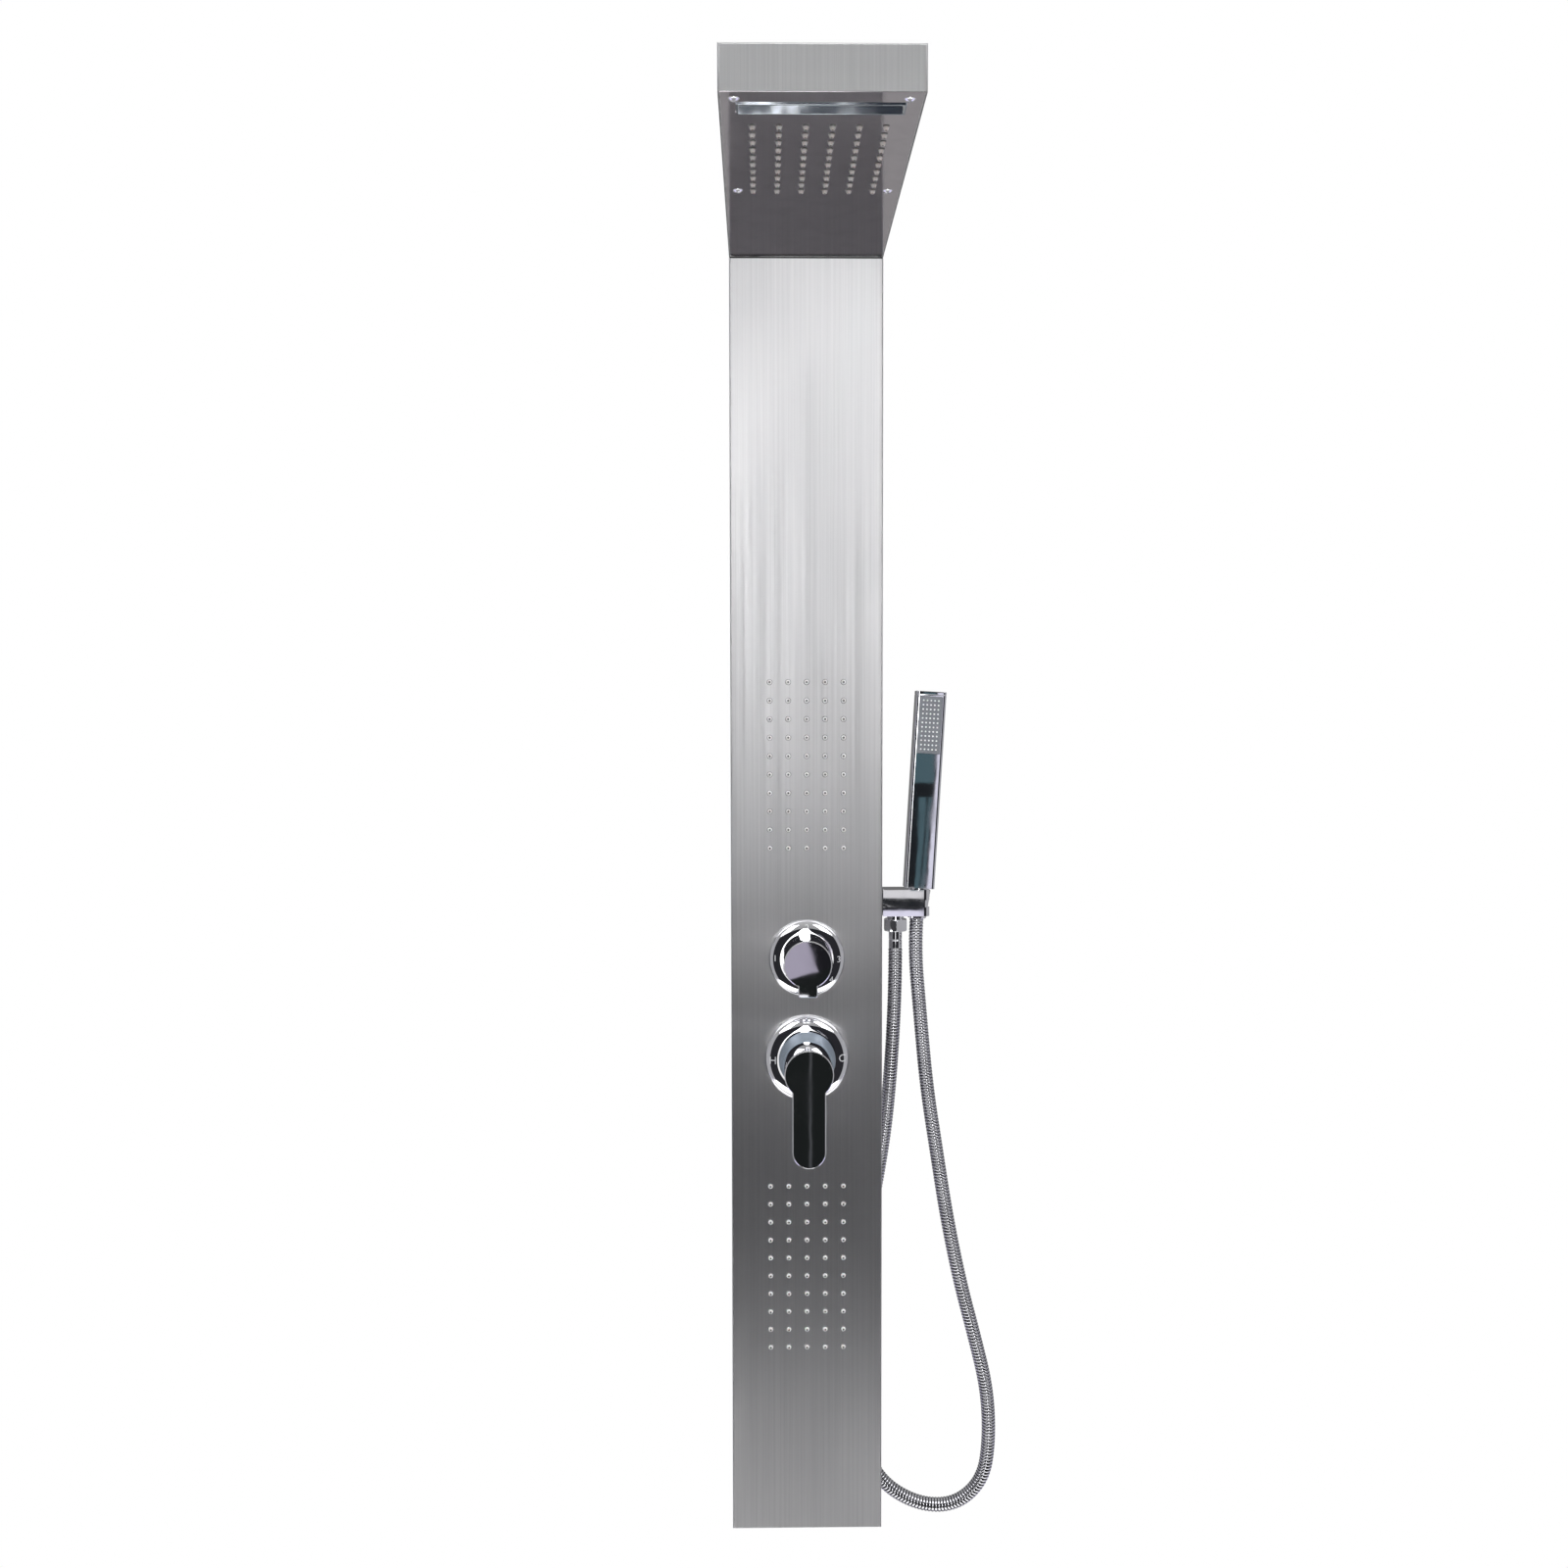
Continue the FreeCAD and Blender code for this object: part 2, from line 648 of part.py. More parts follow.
def make_head():
    """The head's folded shell, its nozzle plate, the plate's screws and the gussets."""
    face = y_at(HEAD_REACH)
    shell = box(-HALF_WIDTH, HALF_WIDTH, face, REAR_Y, HEAD_Z, HEAD_TOP_Z)
    shell = rounded(shell, SHEET_BEND, lambda m: near(m.y, face) and not near(m.z, HEAD_Z))
    hollow = box(-INNER_HALF, INNER_HALF, face + SHEET, INNER_REAR_Y, HEAD_Z, HEAD_TOP_Z - SHEET)
    shell = shell.cut(hollow)
    tabs = []
    tab_holes = []
    for spot in plate_screw_spots():
        side = math.copysign(1.0, spot.x)
        edge = side * INNER_HALF
        tab_y = spot.y - TAB_LENGTH / 2
        tab_end = edge - side * TAB_REACH
        tabs.append(box(edge, tab_end, tab_y, tab_y + TAB_LENGTH, PLATE_TOP_Z, PLATE_TOP_Z + SHEET))
        tab_holes.append(rod(PLATE_SCREW_RADIUS + SCREW_CLEARANCE, spot, spot.add(UP * 3 * SHEET)))
    save("head_casing", drilled(merged(shell, *tabs), tab_holes))

    plate_half = INNER_HALF - PLATE_CLEARANCE
    plate = box(-plate_half, plate_half, face + SHEET + PLATE_CLEARANCE, FACE_Y, HEAD_Z, PLATE_TOP_Z)
    studs = RAIN.studs() + [rod(STUD_RADIUS, spot, spot.add(UP * STUD_LENGTH)) for spot in spout_studs()]
    mouth_x = SPOUT_WIDTH / 2 + SPOUT_CLEARANCE
    mouth_out = SPOUT_DEPTH / 2 + SPOUT_CLEARANCE
    mouth_y = y_at(SPOUT_OUT)
    mouth = box(-mouth_x, mouth_x, mouth_y - mouth_out, mouth_y + mouth_out, HEAD_Z, PLATE_TOP_Z)
    save("head_plate", drilled(merged(plate, *studs), RAIN.holes() + tab_holes + [mouth]))

    screws = []
    for spot in plate_screw_spots():
        head = Part.makeSphere(PLATE_SCREW_DOME_RADIUS, spot)
        head.translate(UP * (PLATE_SCREW_DOME_RADIUS - PLATE_SCREW_HEAD_HEIGHT))
        base = spot.sub(UP * PLATE_SCREW_HEAD_HEIGHT)
        head = head.common(rod(PLATE_SCREW_HEAD_RADIUS, base, spot))
        shank = rod(PLATE_SCREW_RADIUS, spot, spot.add(UP * PLATE_SCREW_LENGTH))
        slots = []
        for along, across in ((CROSS_REACH, CROSS_HALF_WIDTH), (CROSS_HALF_WIDTH, CROSS_REACH)):
            slots.append(box(-along, along, -across, across, 0, CROSS_DEPTH))
        cross = merged(*slots)
        cross.translate(base)
        screws.append(merged(head, shank).cut(cross))
    save("head_screws", *screws)

    gussets = []
    for side in (-1, 1):
        x0 = side * INNER_HALF
        x1 = x0 - side * GUSSET_THICKNESS
        leg = box(x0, x1, FACE_Y + CREASE_NOTCH, INNER_REAR_Y, HEAD_Z - GUSSET_DROP, HEAD_TOP_Z - SHEET)
        low = PLATE_TOP_Z + SHEET
        arm = box(x0, x1, FACE_Y - GUSSET_REACH, INNER_REAR_Y, low, HEAD_TOP_Z - SHEET)
        gussets.append(merged(leg, arm))
    save("corner_gussets", *gussets)


def make_nozzle_fields():
    """The three silicone mats, their water chambers and all the chamber nuts."""
    nuts = []
    for name, field in (("rain", RAIN), ("upper_jet", UPPER_JETS), ("lower_jet", LOWER_JETS)):
        save(name + "_nozzles", field.mat())
        save(name + "_chamber", field.chamber())
        nuts += field.nuts()
    bore = STUD_RADIUS + THREAD_CLEARANCE
    for spot in spout_studs():
        low = spot.add(UP * SPOUT_FLANGE)
        nuts.append(hex_nut(NUT_FLATS, bore, low, low.add(UP * NUT_HEIGHT)))
    save("chamber_nuts", *nuts)


def waterfall_stub():
    """The inlet of the waterfall box: where it leaves the box, and its tip."""
    rear = y_at(SPOUT_OUT - SPOUT_DEPTH / 2 - SPOUT_FLANGE_LAP)
    start = V(RAIN_PIPE_X, rear, HEAD_Z + SPOUT_BOX_TOP - SHEET - PIPE_RADIUS)
    return start, start.add(INWARD * STUB_LENGTH)


def make_waterfall():
    """The chromed waterfall outlet and the box that feeds its slit."""
    half_x = SPOUT_WIDTH / 2
    half_y = SPOUT_DEPTH / 2
    middle = y_at(SPOUT_OUT)
    ceiling = HEAD_Z + SPOUT_CEILING
    top = ceiling + SPOUT_CEILING_METAL
    frame = box(-half_x, half_x, middle - half_y, middle + half_y, HEAD_Z - SPOUT_PROUD, top)
    frame = rounded(frame, SPOUT_WALL, lambda m: near(abs(m.x), half_x) and near(abs(m.y - middle), half_y))
    flange_x = half_x + SPOUT_FLANGE_REACH
    flange_y = half_y + SPOUT_FLANGE_LAP
    flange_top = PLATE_TOP_Z + SPOUT_FLANGE
    flange = box(-flange_x, flange_x, middle - flange_y, middle + flange_y, PLATE_TOP_Z, flange_top)
    inner_x = half_x - SPOUT_WALL
    inner_y = half_y - SPOUT_WALL
    tools = [box(-inner_x, inner_x, middle - inner_y, middle + inner_y, HEAD_Z - SPOUT_PROUD, ceiling)]
    slit_y = middle + inner_y - SPOUT_SLIT
    slit_x = inner_x - SPOUT_WALL
    tools.append(box(-slit_x, slit_x, slit_y, slit_y + SPOUT_SLIT / 2, ceiling, top))
    tools += [rod(STUD_RADIUS + STUD_CLEARANCE, spot, spot.add(UP * SPOUT_FLANGE)) for spot in spout_studs()]
    save("waterfall_spout", drilled(merged(frame, flange), tools))

    box_x = half_x - SPOUT_CLEARANCE
    box_top = HEAD_Z + SPOUT_BOX_TOP
    wall = SPOUT_BOX_WALL
    shell = box(-box_x, box_x, middle - flange_y, middle + flange_y, top, box_top)
    start, tip = waterfall_stub()
    room_x = box_x - wall
    room_y = flange_y - wall
    hollow = box(-room_x, room_x, middle - room_y, middle + room_y, top, box_top - wall)
    bore = rod(PIPE_BORE, start.sub(INWARD * 2 * wall), tip)
    save("waterfall_box", drilled(merged(shell, rod(PIPE_RADIUS, start, tip)), [hollow, bore]))


def make_brackets():
    """Wall brackets with upturned hooks and the hangers welded inside the casing."""
    half = BRACKET_WIDTH / 2
    rise = BRACKET_PLATE / 2
    hangers = []
    for name, height in (("upper", BRACKET_UPPER_HEIGHT), ("lower", BRACKET_LOWER_HEIGHT)):
        z = z_at(height)
        shelf_z = z + rise - BRACKET_METAL
        lip_top = z + rise + BRACKET_LIP
        plate = box(-half, half, -BRACKET_METAL, 0, z - rise, z + rise)
        shelf = box(-half, half, -BRACKET_SHELF, 0, shelf_z, z + rise)
        lip = box(-half, half, -BRACKET_SHELF, -BRACKET_SHELF + BRACKET_METAL, shelf_z, lip_top)
        holes = []
        for side in (-1, 1):
            spot = V(side * BRACKET_HOLE_SPACING / 2, 0, z)
            holes.append(rod(BRACKET_HOLE_RADIUS, spot, spot.add(OUTWARD * BRACKET_METAL)))
        save(name + "_wall_bracket", drilled(merged(plate, shelf, lip), holes))

        wide = INNER_HALF - HANGER_SIDE_GAP
        back = INNER_REAR_Y - BRACKET_METAL
        hook_y = INNER_REAR_Y + HANGER_HOOK
        low = z + rise - BRACKET_LIP
        cross_bar = box(-wide, wide, back, INNER_REAR_Y, low, low + HANGER_HEIGHT)
        arm = box(-half, half, INNER_REAR_Y, hook_y, lip_top, lip_top + BRACKET_METAL)
        hook_low = lip_top - BRACKET_LIP + BRACKET_METAL
        hook = box(-half, half, hook_y - BRACKET_METAL, hook_y, hook_low, lip_top)
        hangers.append(merged(cross_bar, arm, hook))
    save("casing_hangers", *hangers)


# ---- mixer -----------------------------------------------------------------------


def escutcheon(radius, rise, flat, bore, height):
    """A domed cover ring: a rounded shoulder between its edge and a flat middle."""
    inner = radius - ESCUTCHEON_WALL
    low = ESCUTCHEON_EDGE
    top = rise - ESCUTCHEON_WALL
    bend = math.sqrt(0.5)
    outer_middle = (flat + (radius - flat) * bend, low + (rise - low) * bend)
    inner_middle = (flat + (inner - flat) * bend, low + (top - low) * bend)
    profile = [
        (radius, 0),
        (radius, low),
        (outer_middle, (flat, rise)),
        (bore, rise),
        (bore, top),
        (flat, top),
        (inner_middle, (inner, low)),
        (inner, 0),
    ]
    return turned(profile, front(0, height, 0), OUTWARD)


def on_sphere(radius, across, centre):
    """How far out a sphere's surface lies at a radius across its axis."""
    return centre + math.sqrt(radius * radius - across * across)


def make_mixer_body():
    """The brass body with its two threaded inlets, the cartridge and the clamp nut."""
    h = MIXER_HEIGHT
    body = rod(MIXER_BODY_RADIUS, front(0, h, -MIXER_BODY_DEPTH), front(0, h, -SHEET))
    neck = rod(MIXER_NECK_RADIUS, front(0, h, -SHEET), front(0, h, MIXER_NECK_OUT))
    reach = INLET_SPACING / 2
    arm_h = h - INLET_ARM_DROP
    collar_h = arm_h - INLET_COLLAR_DROP
    thread_h = collar_h - INLET_THREAD_LENGTH
    parts = [neck, rod(INLET_ARM_RADIUS, front(-reach, arm_h, PIPE_OUT), front(reach, arm_h, PIPE_OUT))]
    tools = [rod(MIXER_CARTRIDGE_RADIUS + RUNNING_CLEARANCE, front(0, h, -MIXER_CARTRIDGE_DEPTH), neck_end())]
    tools.append(rod(PIPE_BORE, front(-reach, arm_h, PIPE_OUT), front(reach, arm_h, PIPE_OUT)))
    for x in (-reach, reach):
        elbow_top = front(x, arm_h + INLET_ELBOW_RADIUS, PIPE_OUT)
        collar_top = front(x, collar_h + INLET_COLLAR_HEIGHT, PIPE_OUT)
        collar_low = front(x, collar_h, PIPE_OUT)
        thread_end = front(x, thread_h, PIPE_OUT)
        parts.append(rod(INLET_ELBOW_RADIUS, elbow_top, collar_low))
        parts.append(rod(INLET_COLLAR_RADIUS, collar_top, collar_low))
        parts.append(rod(INLET_THREAD_RADIUS, collar_low, thread_end))
        tools.append(rod(INLET_BORE, collar_top, thread_end))
        tools.append(rod(INLET_DROP_BORE, front(x, arm_h + INLET_DROP_BORE, PIPE_OUT), collar_top))
    parts.append(rod(PIPE_RADIUS, front(0, h, PIPE_OUT), mixer_outlet()))
    tools.append(rod(PIPE_BORE, front(0, h, PIPE_OUT), mixer_outlet()))
    save("mixer_body", drilled(merged(body, *parts), tools))

    nut_outer = MIXER_NECK_RADIUS + CLAMP_NUT_WALL
    nut_bore = MIXER_NECK_RADIUS + THREAD_CLEARANCE
    save("mixer_clamp_nut", tube(nut_outer, nut_bore, front(0, h, 0), front(0, h, CLAMP_NUT_THICKNESS)))

    start = front(0, h, -MIXER_CARTRIDGE_DEPTH)
    cartridge = rod(MIXER_CARTRIDGE_RADIUS, start, front(0, h, MIXER_CARTRIDGE_OUT))
    bore = rod(
        MIXER_CARRIER_RADIUS + RUNNING_CLEARANCE,
        front(0, h, -MIXER_CARRIER_DEPTH),
        front(0, h, MIXER_CARTRIDGE_OUT),
    )
    save("mixer_cartridge", cartridge.cut(bore))
    nut_start = front(0, h, MIXER_CARTRIDGE_OUT)
    nut_front = front(0, h, MIXER_NUT_OUT)
    save("mixer_cartridge_nut", tube(MIXER_CARTRIDGE_RADIUS, MIXER_NUT_BORE, nut_start, nut_front))


def neck_end():
    """The front end of the mixer body's neck."""
    return front(0, MIXER_HEIGHT, MIXER_NECK_OUT)


def mixer_outlet():
    """The end of the mixer body's upper outlet."""
    return front(0, MIXER_HEIGHT + MIXER_BODY_RADIUS + STUB_LENGTH, PIPE_OUT)


def pivot_pin(radius):
    """The lever's pivot across the carrier, as a pin or a hole for it."""
    half = MIXER_PIN_LENGTH / 2
    centre = front(0, MIXER_HEIGHT, MIXER_PIVOT_OUT)
    return rod(radius, centre.sub(RIGHT * half), centre.add(RIGHT * half))


def make_mixer_lever():
    """The turning carrier with its pin, the sleeve and the lever with its stem and screws."""
    h = MIXER_HEIGHT
    z = z_at(h)
    half_stem = MIXER_STEM_WIDTH / 2
    slot = half_stem + RUNNING_CLEARANCE * 2
    carrier = rod(MIXER_CARRIER_RADIUS, front(0, h, -MIXER_CARRIER_DEPTH), front(0, h, MIXER_CARRIER_OUT))
    depth = y_at(MIXER_PIVOT_OUT - MIXER_STEM_DEPTH - half_stem)
    wide = MIXER_CARRIER_RADIUS
    slot_box = box(-slot, slot, y_at(MIXER_CARRIER_OUT), depth, z - wide, z + wide)
    save("mixer_carrier", carrier.cut(slot_box).cut(pivot_pin(MIXER_PIN_RADIUS)))
    save("mixer_pivot_pin", pivot_pin(MIXER_PIN_RADIUS))

    tail = y_at(MIXER_PIVOT_OUT - MIXER_STEM_DEPTH)
    stem = box(-half_stem, half_stem, tail, y_at(MIXER_STEM_OUT), z - half_stem, z + half_stem)
    save("mixer_stem", stem.cut(pivot_pin(MIXER_PIN_RADIUS + RUNNING_CLEARANCE)))

    inner_dome = SLEEVE_DOME_RADIUS - SLEEVE_WALL
    inner_rim = SLEEVE_RIM_RADIUS - SLEEVE_WALL
    base = MIXER_ESCUTCHEON_RISE
    web = base + SLEEVE_WALL
    middle = (SLEEVE_RIM_RADIUS + SLEEVE_HOLE_RADIUS) / 2
    inner_middle = (inner_rim + SLEEVE_HOLE_RADIUS) / 2
    centre = MIXER_PIVOT_OUT
    profile = [
        (MIXER_NECK_RADIUS + THREAD_CLEARANCE, CLAMP_NUT_THICKNESS),
        (MIXER_ESCUTCHEON_BORE - THREAD_CLEARANCE, CLAMP_NUT_THICKNESS),
        (MIXER_ESCUTCHEON_BORE - THREAD_CLEARANCE, base),
        (SLEEVE_FLANGE_RADIUS, base),
        (SLEEVE_RIM_RADIUS, on_sphere(SLEEVE_DOME_RADIUS, SLEEVE_RIM_RADIUS, centre)),
        (
            (middle, on_sphere(SLEEVE_DOME_RADIUS, middle, centre)),
            (SLEEVE_HOLE_RADIUS, on_sphere(SLEEVE_DOME_RADIUS, SLEEVE_HOLE_RADIUS, centre)),
        ),
        (SLEEVE_HOLE_RADIUS, on_sphere(inner_dome, SLEEVE_HOLE_RADIUS, centre)),
        (
            (inner_middle, on_sphere(inner_dome, inner_middle, centre)),
            (inner_rim, on_sphere(inner_dome, inner_rim, centre)),
        ),
        (SLEEVE_FLANGE_RADIUS - SLEEVE_FOOT_WALL, web),
        (MIXER_NECK_RADIUS + THREAD_CLEARANCE, web),
    ]
    save("mixer_sleeve", turned(profile, front(0, h, 0), OUTWARD))
    cover = escutcheon(
        MIXER_ESCUTCHEON_RADIUS, MIXER_ESCUTCHEON_RISE, MIXER_ESCUTCHEON_FLAT, MIXER_ESCUTCHEON_BORE, h
    )
    save("mixer_escutcheon", cover)

    hub = rod(LEVER_RADIUS, front(0, h, MIXER_PIVOT_OUT), front(0, h, LEVER_OUT))
    half = LEVER_WIDTH / 2
    back = LEVER_OUT - LEVER_THICKNESS
    tip_h = h - LEVER_LENGTH + half
    arm = box(-half, half, y_at(back), y_at(LEVER_OUT), z, z_at(tip_h))
    lever = merged(hub, arm, rod(half, front(0, tip_h, back), front(0, tip_h, LEVER_OUT)))
    face = y_at(LEVER_OUT)
    lever = lever.makeChamfer(LEVER_EDGE, edges_at(lever, face))
    hollow = Part.makeSphere(SLEEVE_DOME_RADIUS + LEVER_GAP, front(0, h, MIXER_PIVOT_OUT))
    grip = half_stem + RUNNING_CLEARANCE
    socket = box(-grip, grip, y_at(MIXER_PIVOT_OUT), y_at(MIXER_STEM_OUT), z - grip, z + grip)
    screw_base = front(0, h + half_stem, LEVER_SCREW_OUT)
    screw_top = front(0, h + LEVER_RADIUS, LEVER_SCREW_OUT)
    screw_hole = rod(GRUB_RADIUS + THREAD_CLEARANCE, screw_base, screw_top)
    plug_base = screw_top.sub(UP * INDEX_LENGTH)
    plug_hole = rod(INDEX_RADIUS + THREAD_CLEARANCE, plug_base, screw_top.add(UP))
    save("mixer_lever", drilled(lever, [hollow, socket, screw_hole, plug_hole]))
    save("mixer_grub_screw", rod(GRUB_RADIUS, screw_base, screw_base.add(UP * GRUB_LENGTH)))
    hub_side = rod(LEVER_RADIUS, front(0, h, 0), front(0, h, LEVER_OUT))
    save("mixer_index_plug", rod(INDEX_RADIUS, plug_base, screw_top).common(hub_side))


# ---- diverter --------------------------------------------------------------------


def diverter_ports():
    """Each port of the diverter: where it leaves the block, and its direction."""
    h = DIVERTER_HEIGHT
    top = h + DIVERTER_HALF_HEIGHT
    bottom = h - DIVERTER_HALF_HEIGHT
    side = h + DIVERTER_SIDE_PORT_RISE
    return {
        "rain": (front(-DIVERTER_PORT_X, top, PIPE_OUT), UP),
        "upper_jets": (V(DIVERTER_PORT_X, UPPER_JETS.stub_tip().y, z_at(top)), UP),
        "waterfall": (front(-DIVERTER_HALF_WIDTH, side, PIPE_OUT), V(-1, 0, 0)),
        "hand": (front(DIVERTER_HALF_WIDTH, side, PIPE_OUT), RIGHT),
        "lower_jets": (front(DIVERTER_PORT_X, bottom, PIPE_OUT), DOWN),
        "mixed": (front(0, bottom, PIPE_OUT), DOWN),
    }


def port_tip(name):
    """The outer end of one of the diverter's ports."""
    start, direction = diverter_ports()[name]
    return start.add(direction * port_length(name))


def port_length(name):
    """The inlet port meets the mixer's outlet pipe half way; the others are alike."""
    return STUB_LENGTH / 2 if name == "mixed" else STUB_LENGTH


def make_diverter():
    """The diverter: block, clamp nut, cartridge, spindle, cover ring and knob."""
    h = DIVERTER_HEIGHT
    wide = DIVERTER_HALF_WIDTH
    tall = DIVERTER_HALF_HEIGHT
    block = box(-wide, wide, y_at(-DIVERTER_DEPTH), y_at(-SHEET), z_at(h - tall), z_at(h + tall))
    neck_front = front(0, h, DIVERTER_NECK_OUT)
    parts = [rod(DIVERTER_NECK_RADIUS, front(0, h, -SHEET), neck_front)]
    bore = DIVERTER_CARTRIDGE_RADIUS + THREAD_CLEARANCE
    tools = [rod(bore, front(0, h, -DIVERTER_CARTRIDGE_DEPTH), neck_front)]
    depth = wide - DIVERTER_CARTRIDGE_RADIUS
    for name, (start, direction) in diverter_ports().items():
        tip = start.add(direction * port_length(name))
        parts.append(rod(PIPE_RADIUS, start, tip))
        tools.append(rod(PIPE_BORE, start.sub(direction * depth), tip))
    save("diverter_body", drilled(merged(block, *parts), tools))

    nut_outer = DIVERTER_NECK_RADIUS + CLAMP_NUT_WALL
    nut_bore = DIVERTER_NECK_RADIUS + THREAD_CLEARANCE
    save("diverter_clamp_nut", tube(nut_outer, nut_bore, front(0, h, 0), front(0, h, CLAMP_NUT_THICKNESS)))

    cartridge = rod(DIVERTER_CARTRIDGE_RADIUS, front(0, h, -DIVERTER_CARTRIDGE_DEPTH), neck_front)
    spindle_start = front(0, h, -DIVERTER_SPINDLE_DEPTH)
    hole = rod(DIVERTER_SPINDLE_RADIUS + RUNNING_CLEARANCE, spindle_start, neck_front)
    save("diverter_cartridge", cartridge.cut(hole))
    spindle_end = front(0, h, DIVERTER_SPINDLE_OUT)
    save("diverter_spindle", rod(DIVERTER_SPINDLE_RADIUS, spindle_start, spindle_end))
    cover = escutcheon(
        DIVERTER_ESCUTCHEON_RADIUS,
        DIVERTER_ESCUTCHEON_RISE,
        DIVERTER_ESCUTCHEON_FLAT,
        DIVERTER_NECK_RADIUS + THREAD_CLEARANCE,
        h,
    )
    save("diverter_escutcheon", cover)

    rear = DIVERTER_ESCUTCHEON_RISE + KNOB_GAP
    face = front(0, h, KNOB_OUT)
    knob = rod(KNOB_RADIUS, front(0, h, rear), face)
    half = KNOB_TAB_WIDTH / 2
    tab_bottom = z_at(h) - KNOB_RADIUS - KNOB_TAB_REACH
    tab_rear = y_at(KNOB_OUT - KNOB_TAB_THICKNESS)
    tab = box(-half, half, tab_rear, y_at(KNOB_OUT), z_at(h), tab_bottom)
    tab = rounded(tab, KNOB_TAB_REACH / 3, lambda m: near(abs(m.x), half) and near(m.z, tab_bottom))
    knob = merged(knob, tab)
    knob = knob.makeChamfer(LEVER_EDGE, edges_at(knob, face.y))
    recess = tube(KNOB_RECESS_RADIUS, KNOB_BOSS_RADIUS, front(0, h, rear), front(0, h, KNOB_OUT - KNOB_FACE))
    hole = rod(DIVERTER_SPINDLE_RADIUS + THREAD_CLEARANCE, front(0, h, rear), spindle_end)
    screw_start = front(0, h - DIVERTER_SPINDLE_RADIUS, KNOB_SCREW_OUT)
    screw_hole = rod(GRUB_RADIUS + THREAD_CLEARANCE, screw_start, screw_start.add(DOWN * KNOB_RADIUS))
    save("diverter_knob", drilled(knob, [recess, hole, screw_hole]))
    save("diverter_grub_screw", rod(GRUB_RADIUS, screw_start, screw_start.add(DOWN * KNOB_GRUB_LENGTH)))


# ---- pipes -----------------------------------------------------------------------


def path_edges(points, bend):
    """Straight runs joined by tangent arcs of one radius, or of a radius per corner."""
    edges = []
    here = points[0]
    for i in range(1, len(points) - 1):
        before = points[i].sub(points[i - 1])
        after = points[i + 1].sub(points[i])
        turn = before.getAngle(after)
        radius = bend[i - 1] if isinstance(bend, list) else bend
        back = radius * math.tan(turn / 2)
        before.normalize()
        after.normalize()
        start = points[i].sub(before * back)
        end = points[i].add(after * back)
        inward = after.sub(before)
        inward.normalize()
        centre = points[i].add(inward * (radius / math.cos(turn / 2)))
        middle = centre.sub(inward * radius)
        edges.append(Part.LineSegment(here, start).toShape())
        edges.append(Part.Arc(start, middle, end).toShape())
        here = end
    edges.append(Part.LineSegment(here, points[-1]).toShape())
    return edges


def bent_tube(points, bend, outer, inner):
    """A bent tube, swept run by run along its path."""
    path = Part.Wire(path_edges(points, bend))
    direction = points[1].sub(points[0])
    walls = []
    for radius in (outer, inner):
        ring = Part.Wire([Part.makeCircle(radius, points[0], direction)])
        walls.append(path.makePipeShell([ring], True, False))
    return walls[0].cut(walls[1])


def pipe_routes():
    """The routes of the water pipes, each from the diverter to what it feeds."""
    rain_end = RAIN.stub_tip()
    rain_start = port_tip("rain")
    rise = rain_start.z + PIPE_BEND / 2
    rain = [
        rain_start,
        V(rain_start.x, PIPE_Y, rise),
        V(RAIN_PIPE_X, PIPE_Y, rise + 1.5 * PIPE_BEND),
        V(RAIN_PIPE_X, PIPE_Y, rain_end.z),
        rain_end,
    ]
    fall_end = waterfall_stub()[1]
    fall_start = port_tip("waterfall")
    inside_head = FACE_Y - 2 * PIPE_BEND
    waterfall = [
        fall_start,
        V(WATERFALL_PIPE_X, PIPE_Y, fall_start.z),
        V(WATERFALL_PIPE_X, PIPE_Y, fall_end.z),
        V(WATERFALL_PIPE_X, inside_head, fall_end.z),
        V(fall_end.x, inside_head - 3 * PIPE_BEND, fall_end.z),
        fall_end,
    ]
    hand_start = port_tip("hand")
    hand_end = holder_inlet_tip()
    turn_x = (hand_start.x + hand_end.x) / 2
    hand = [hand_start, V(turn_x, PIPE_Y, hand_start.z), V(turn_x, PIPE_Y, hand_end.z), hand_end]
    lower_start = port_tip("lower_jets")
    lower_end = LOWER_JETS.stub_tip()
    swing = z_at(MIXER_HEIGHT) + MIXER_BODY_RADIUS
    lower = [
        lower_start,
        V(lower_start.x, PIPE_Y, lower_start.z - PIPE_BEND / 2),
        V(LOWER_PIPE_X, PIPE_Y, swing),
        V(LOWER_PIPE_X, lower_end.y, lower_end.z),
        lower_end,
    ]
    return {
        "mixed_water_pipe": ([mixer_outlet(), port_tip("mixed")], []),
        "rain_pipe": (rain, [PIPE_BEND, PIPE_BEND, PIPE_BEND]),
        "waterfall_pipe": (waterfall, [PIPE_BEND, PIPE_BEND, PIPE_BEND, PIPE_BEND]),
        "upper_jet_pipe": ([port_tip("upper_jets"), UPPER_JETS.stub_tip()], []),
        "lower_jet_pipe": (lower, [PIPE_BEND / 2, PIPE_BEND, TIGHT_PIPE_BEND]),
        "hand_shower_pipe": (hand, [TIGHT_PIPE_BEND, TIGHT_PIPE_BEND]),
    }


def make_pipes():
    """The water pipes, with a crimped ferrule over each joint to a stub."""
    ferrules = []
    for name, (points, bends) in pipe_routes().items():
        if bends:
            save(name, bent_tube(points, bends, PIPE_RADIUS, PIPE_BORE))
        else:
            save(name, tube(PIPE_RADIUS, PIPE_BORE, points[0], points[1]))
        for end, beside in ((points[0], points[1]), (points[-1], points[-2])):
            half = beside.sub(end)
            half.normalize()
            half = half * PIPE_FERRULE_LENGTH / 2
            outer = PIPE_RADIUS + PIPE_FERRULE_WALL
            ferrules.append(tube(outer, PIPE_RADIUS, end.sub(half), end.add(half)))
    save("pipe_ferrules", *ferrules)


# ---- hand shower holder, hose and hand shower ------------------------------------


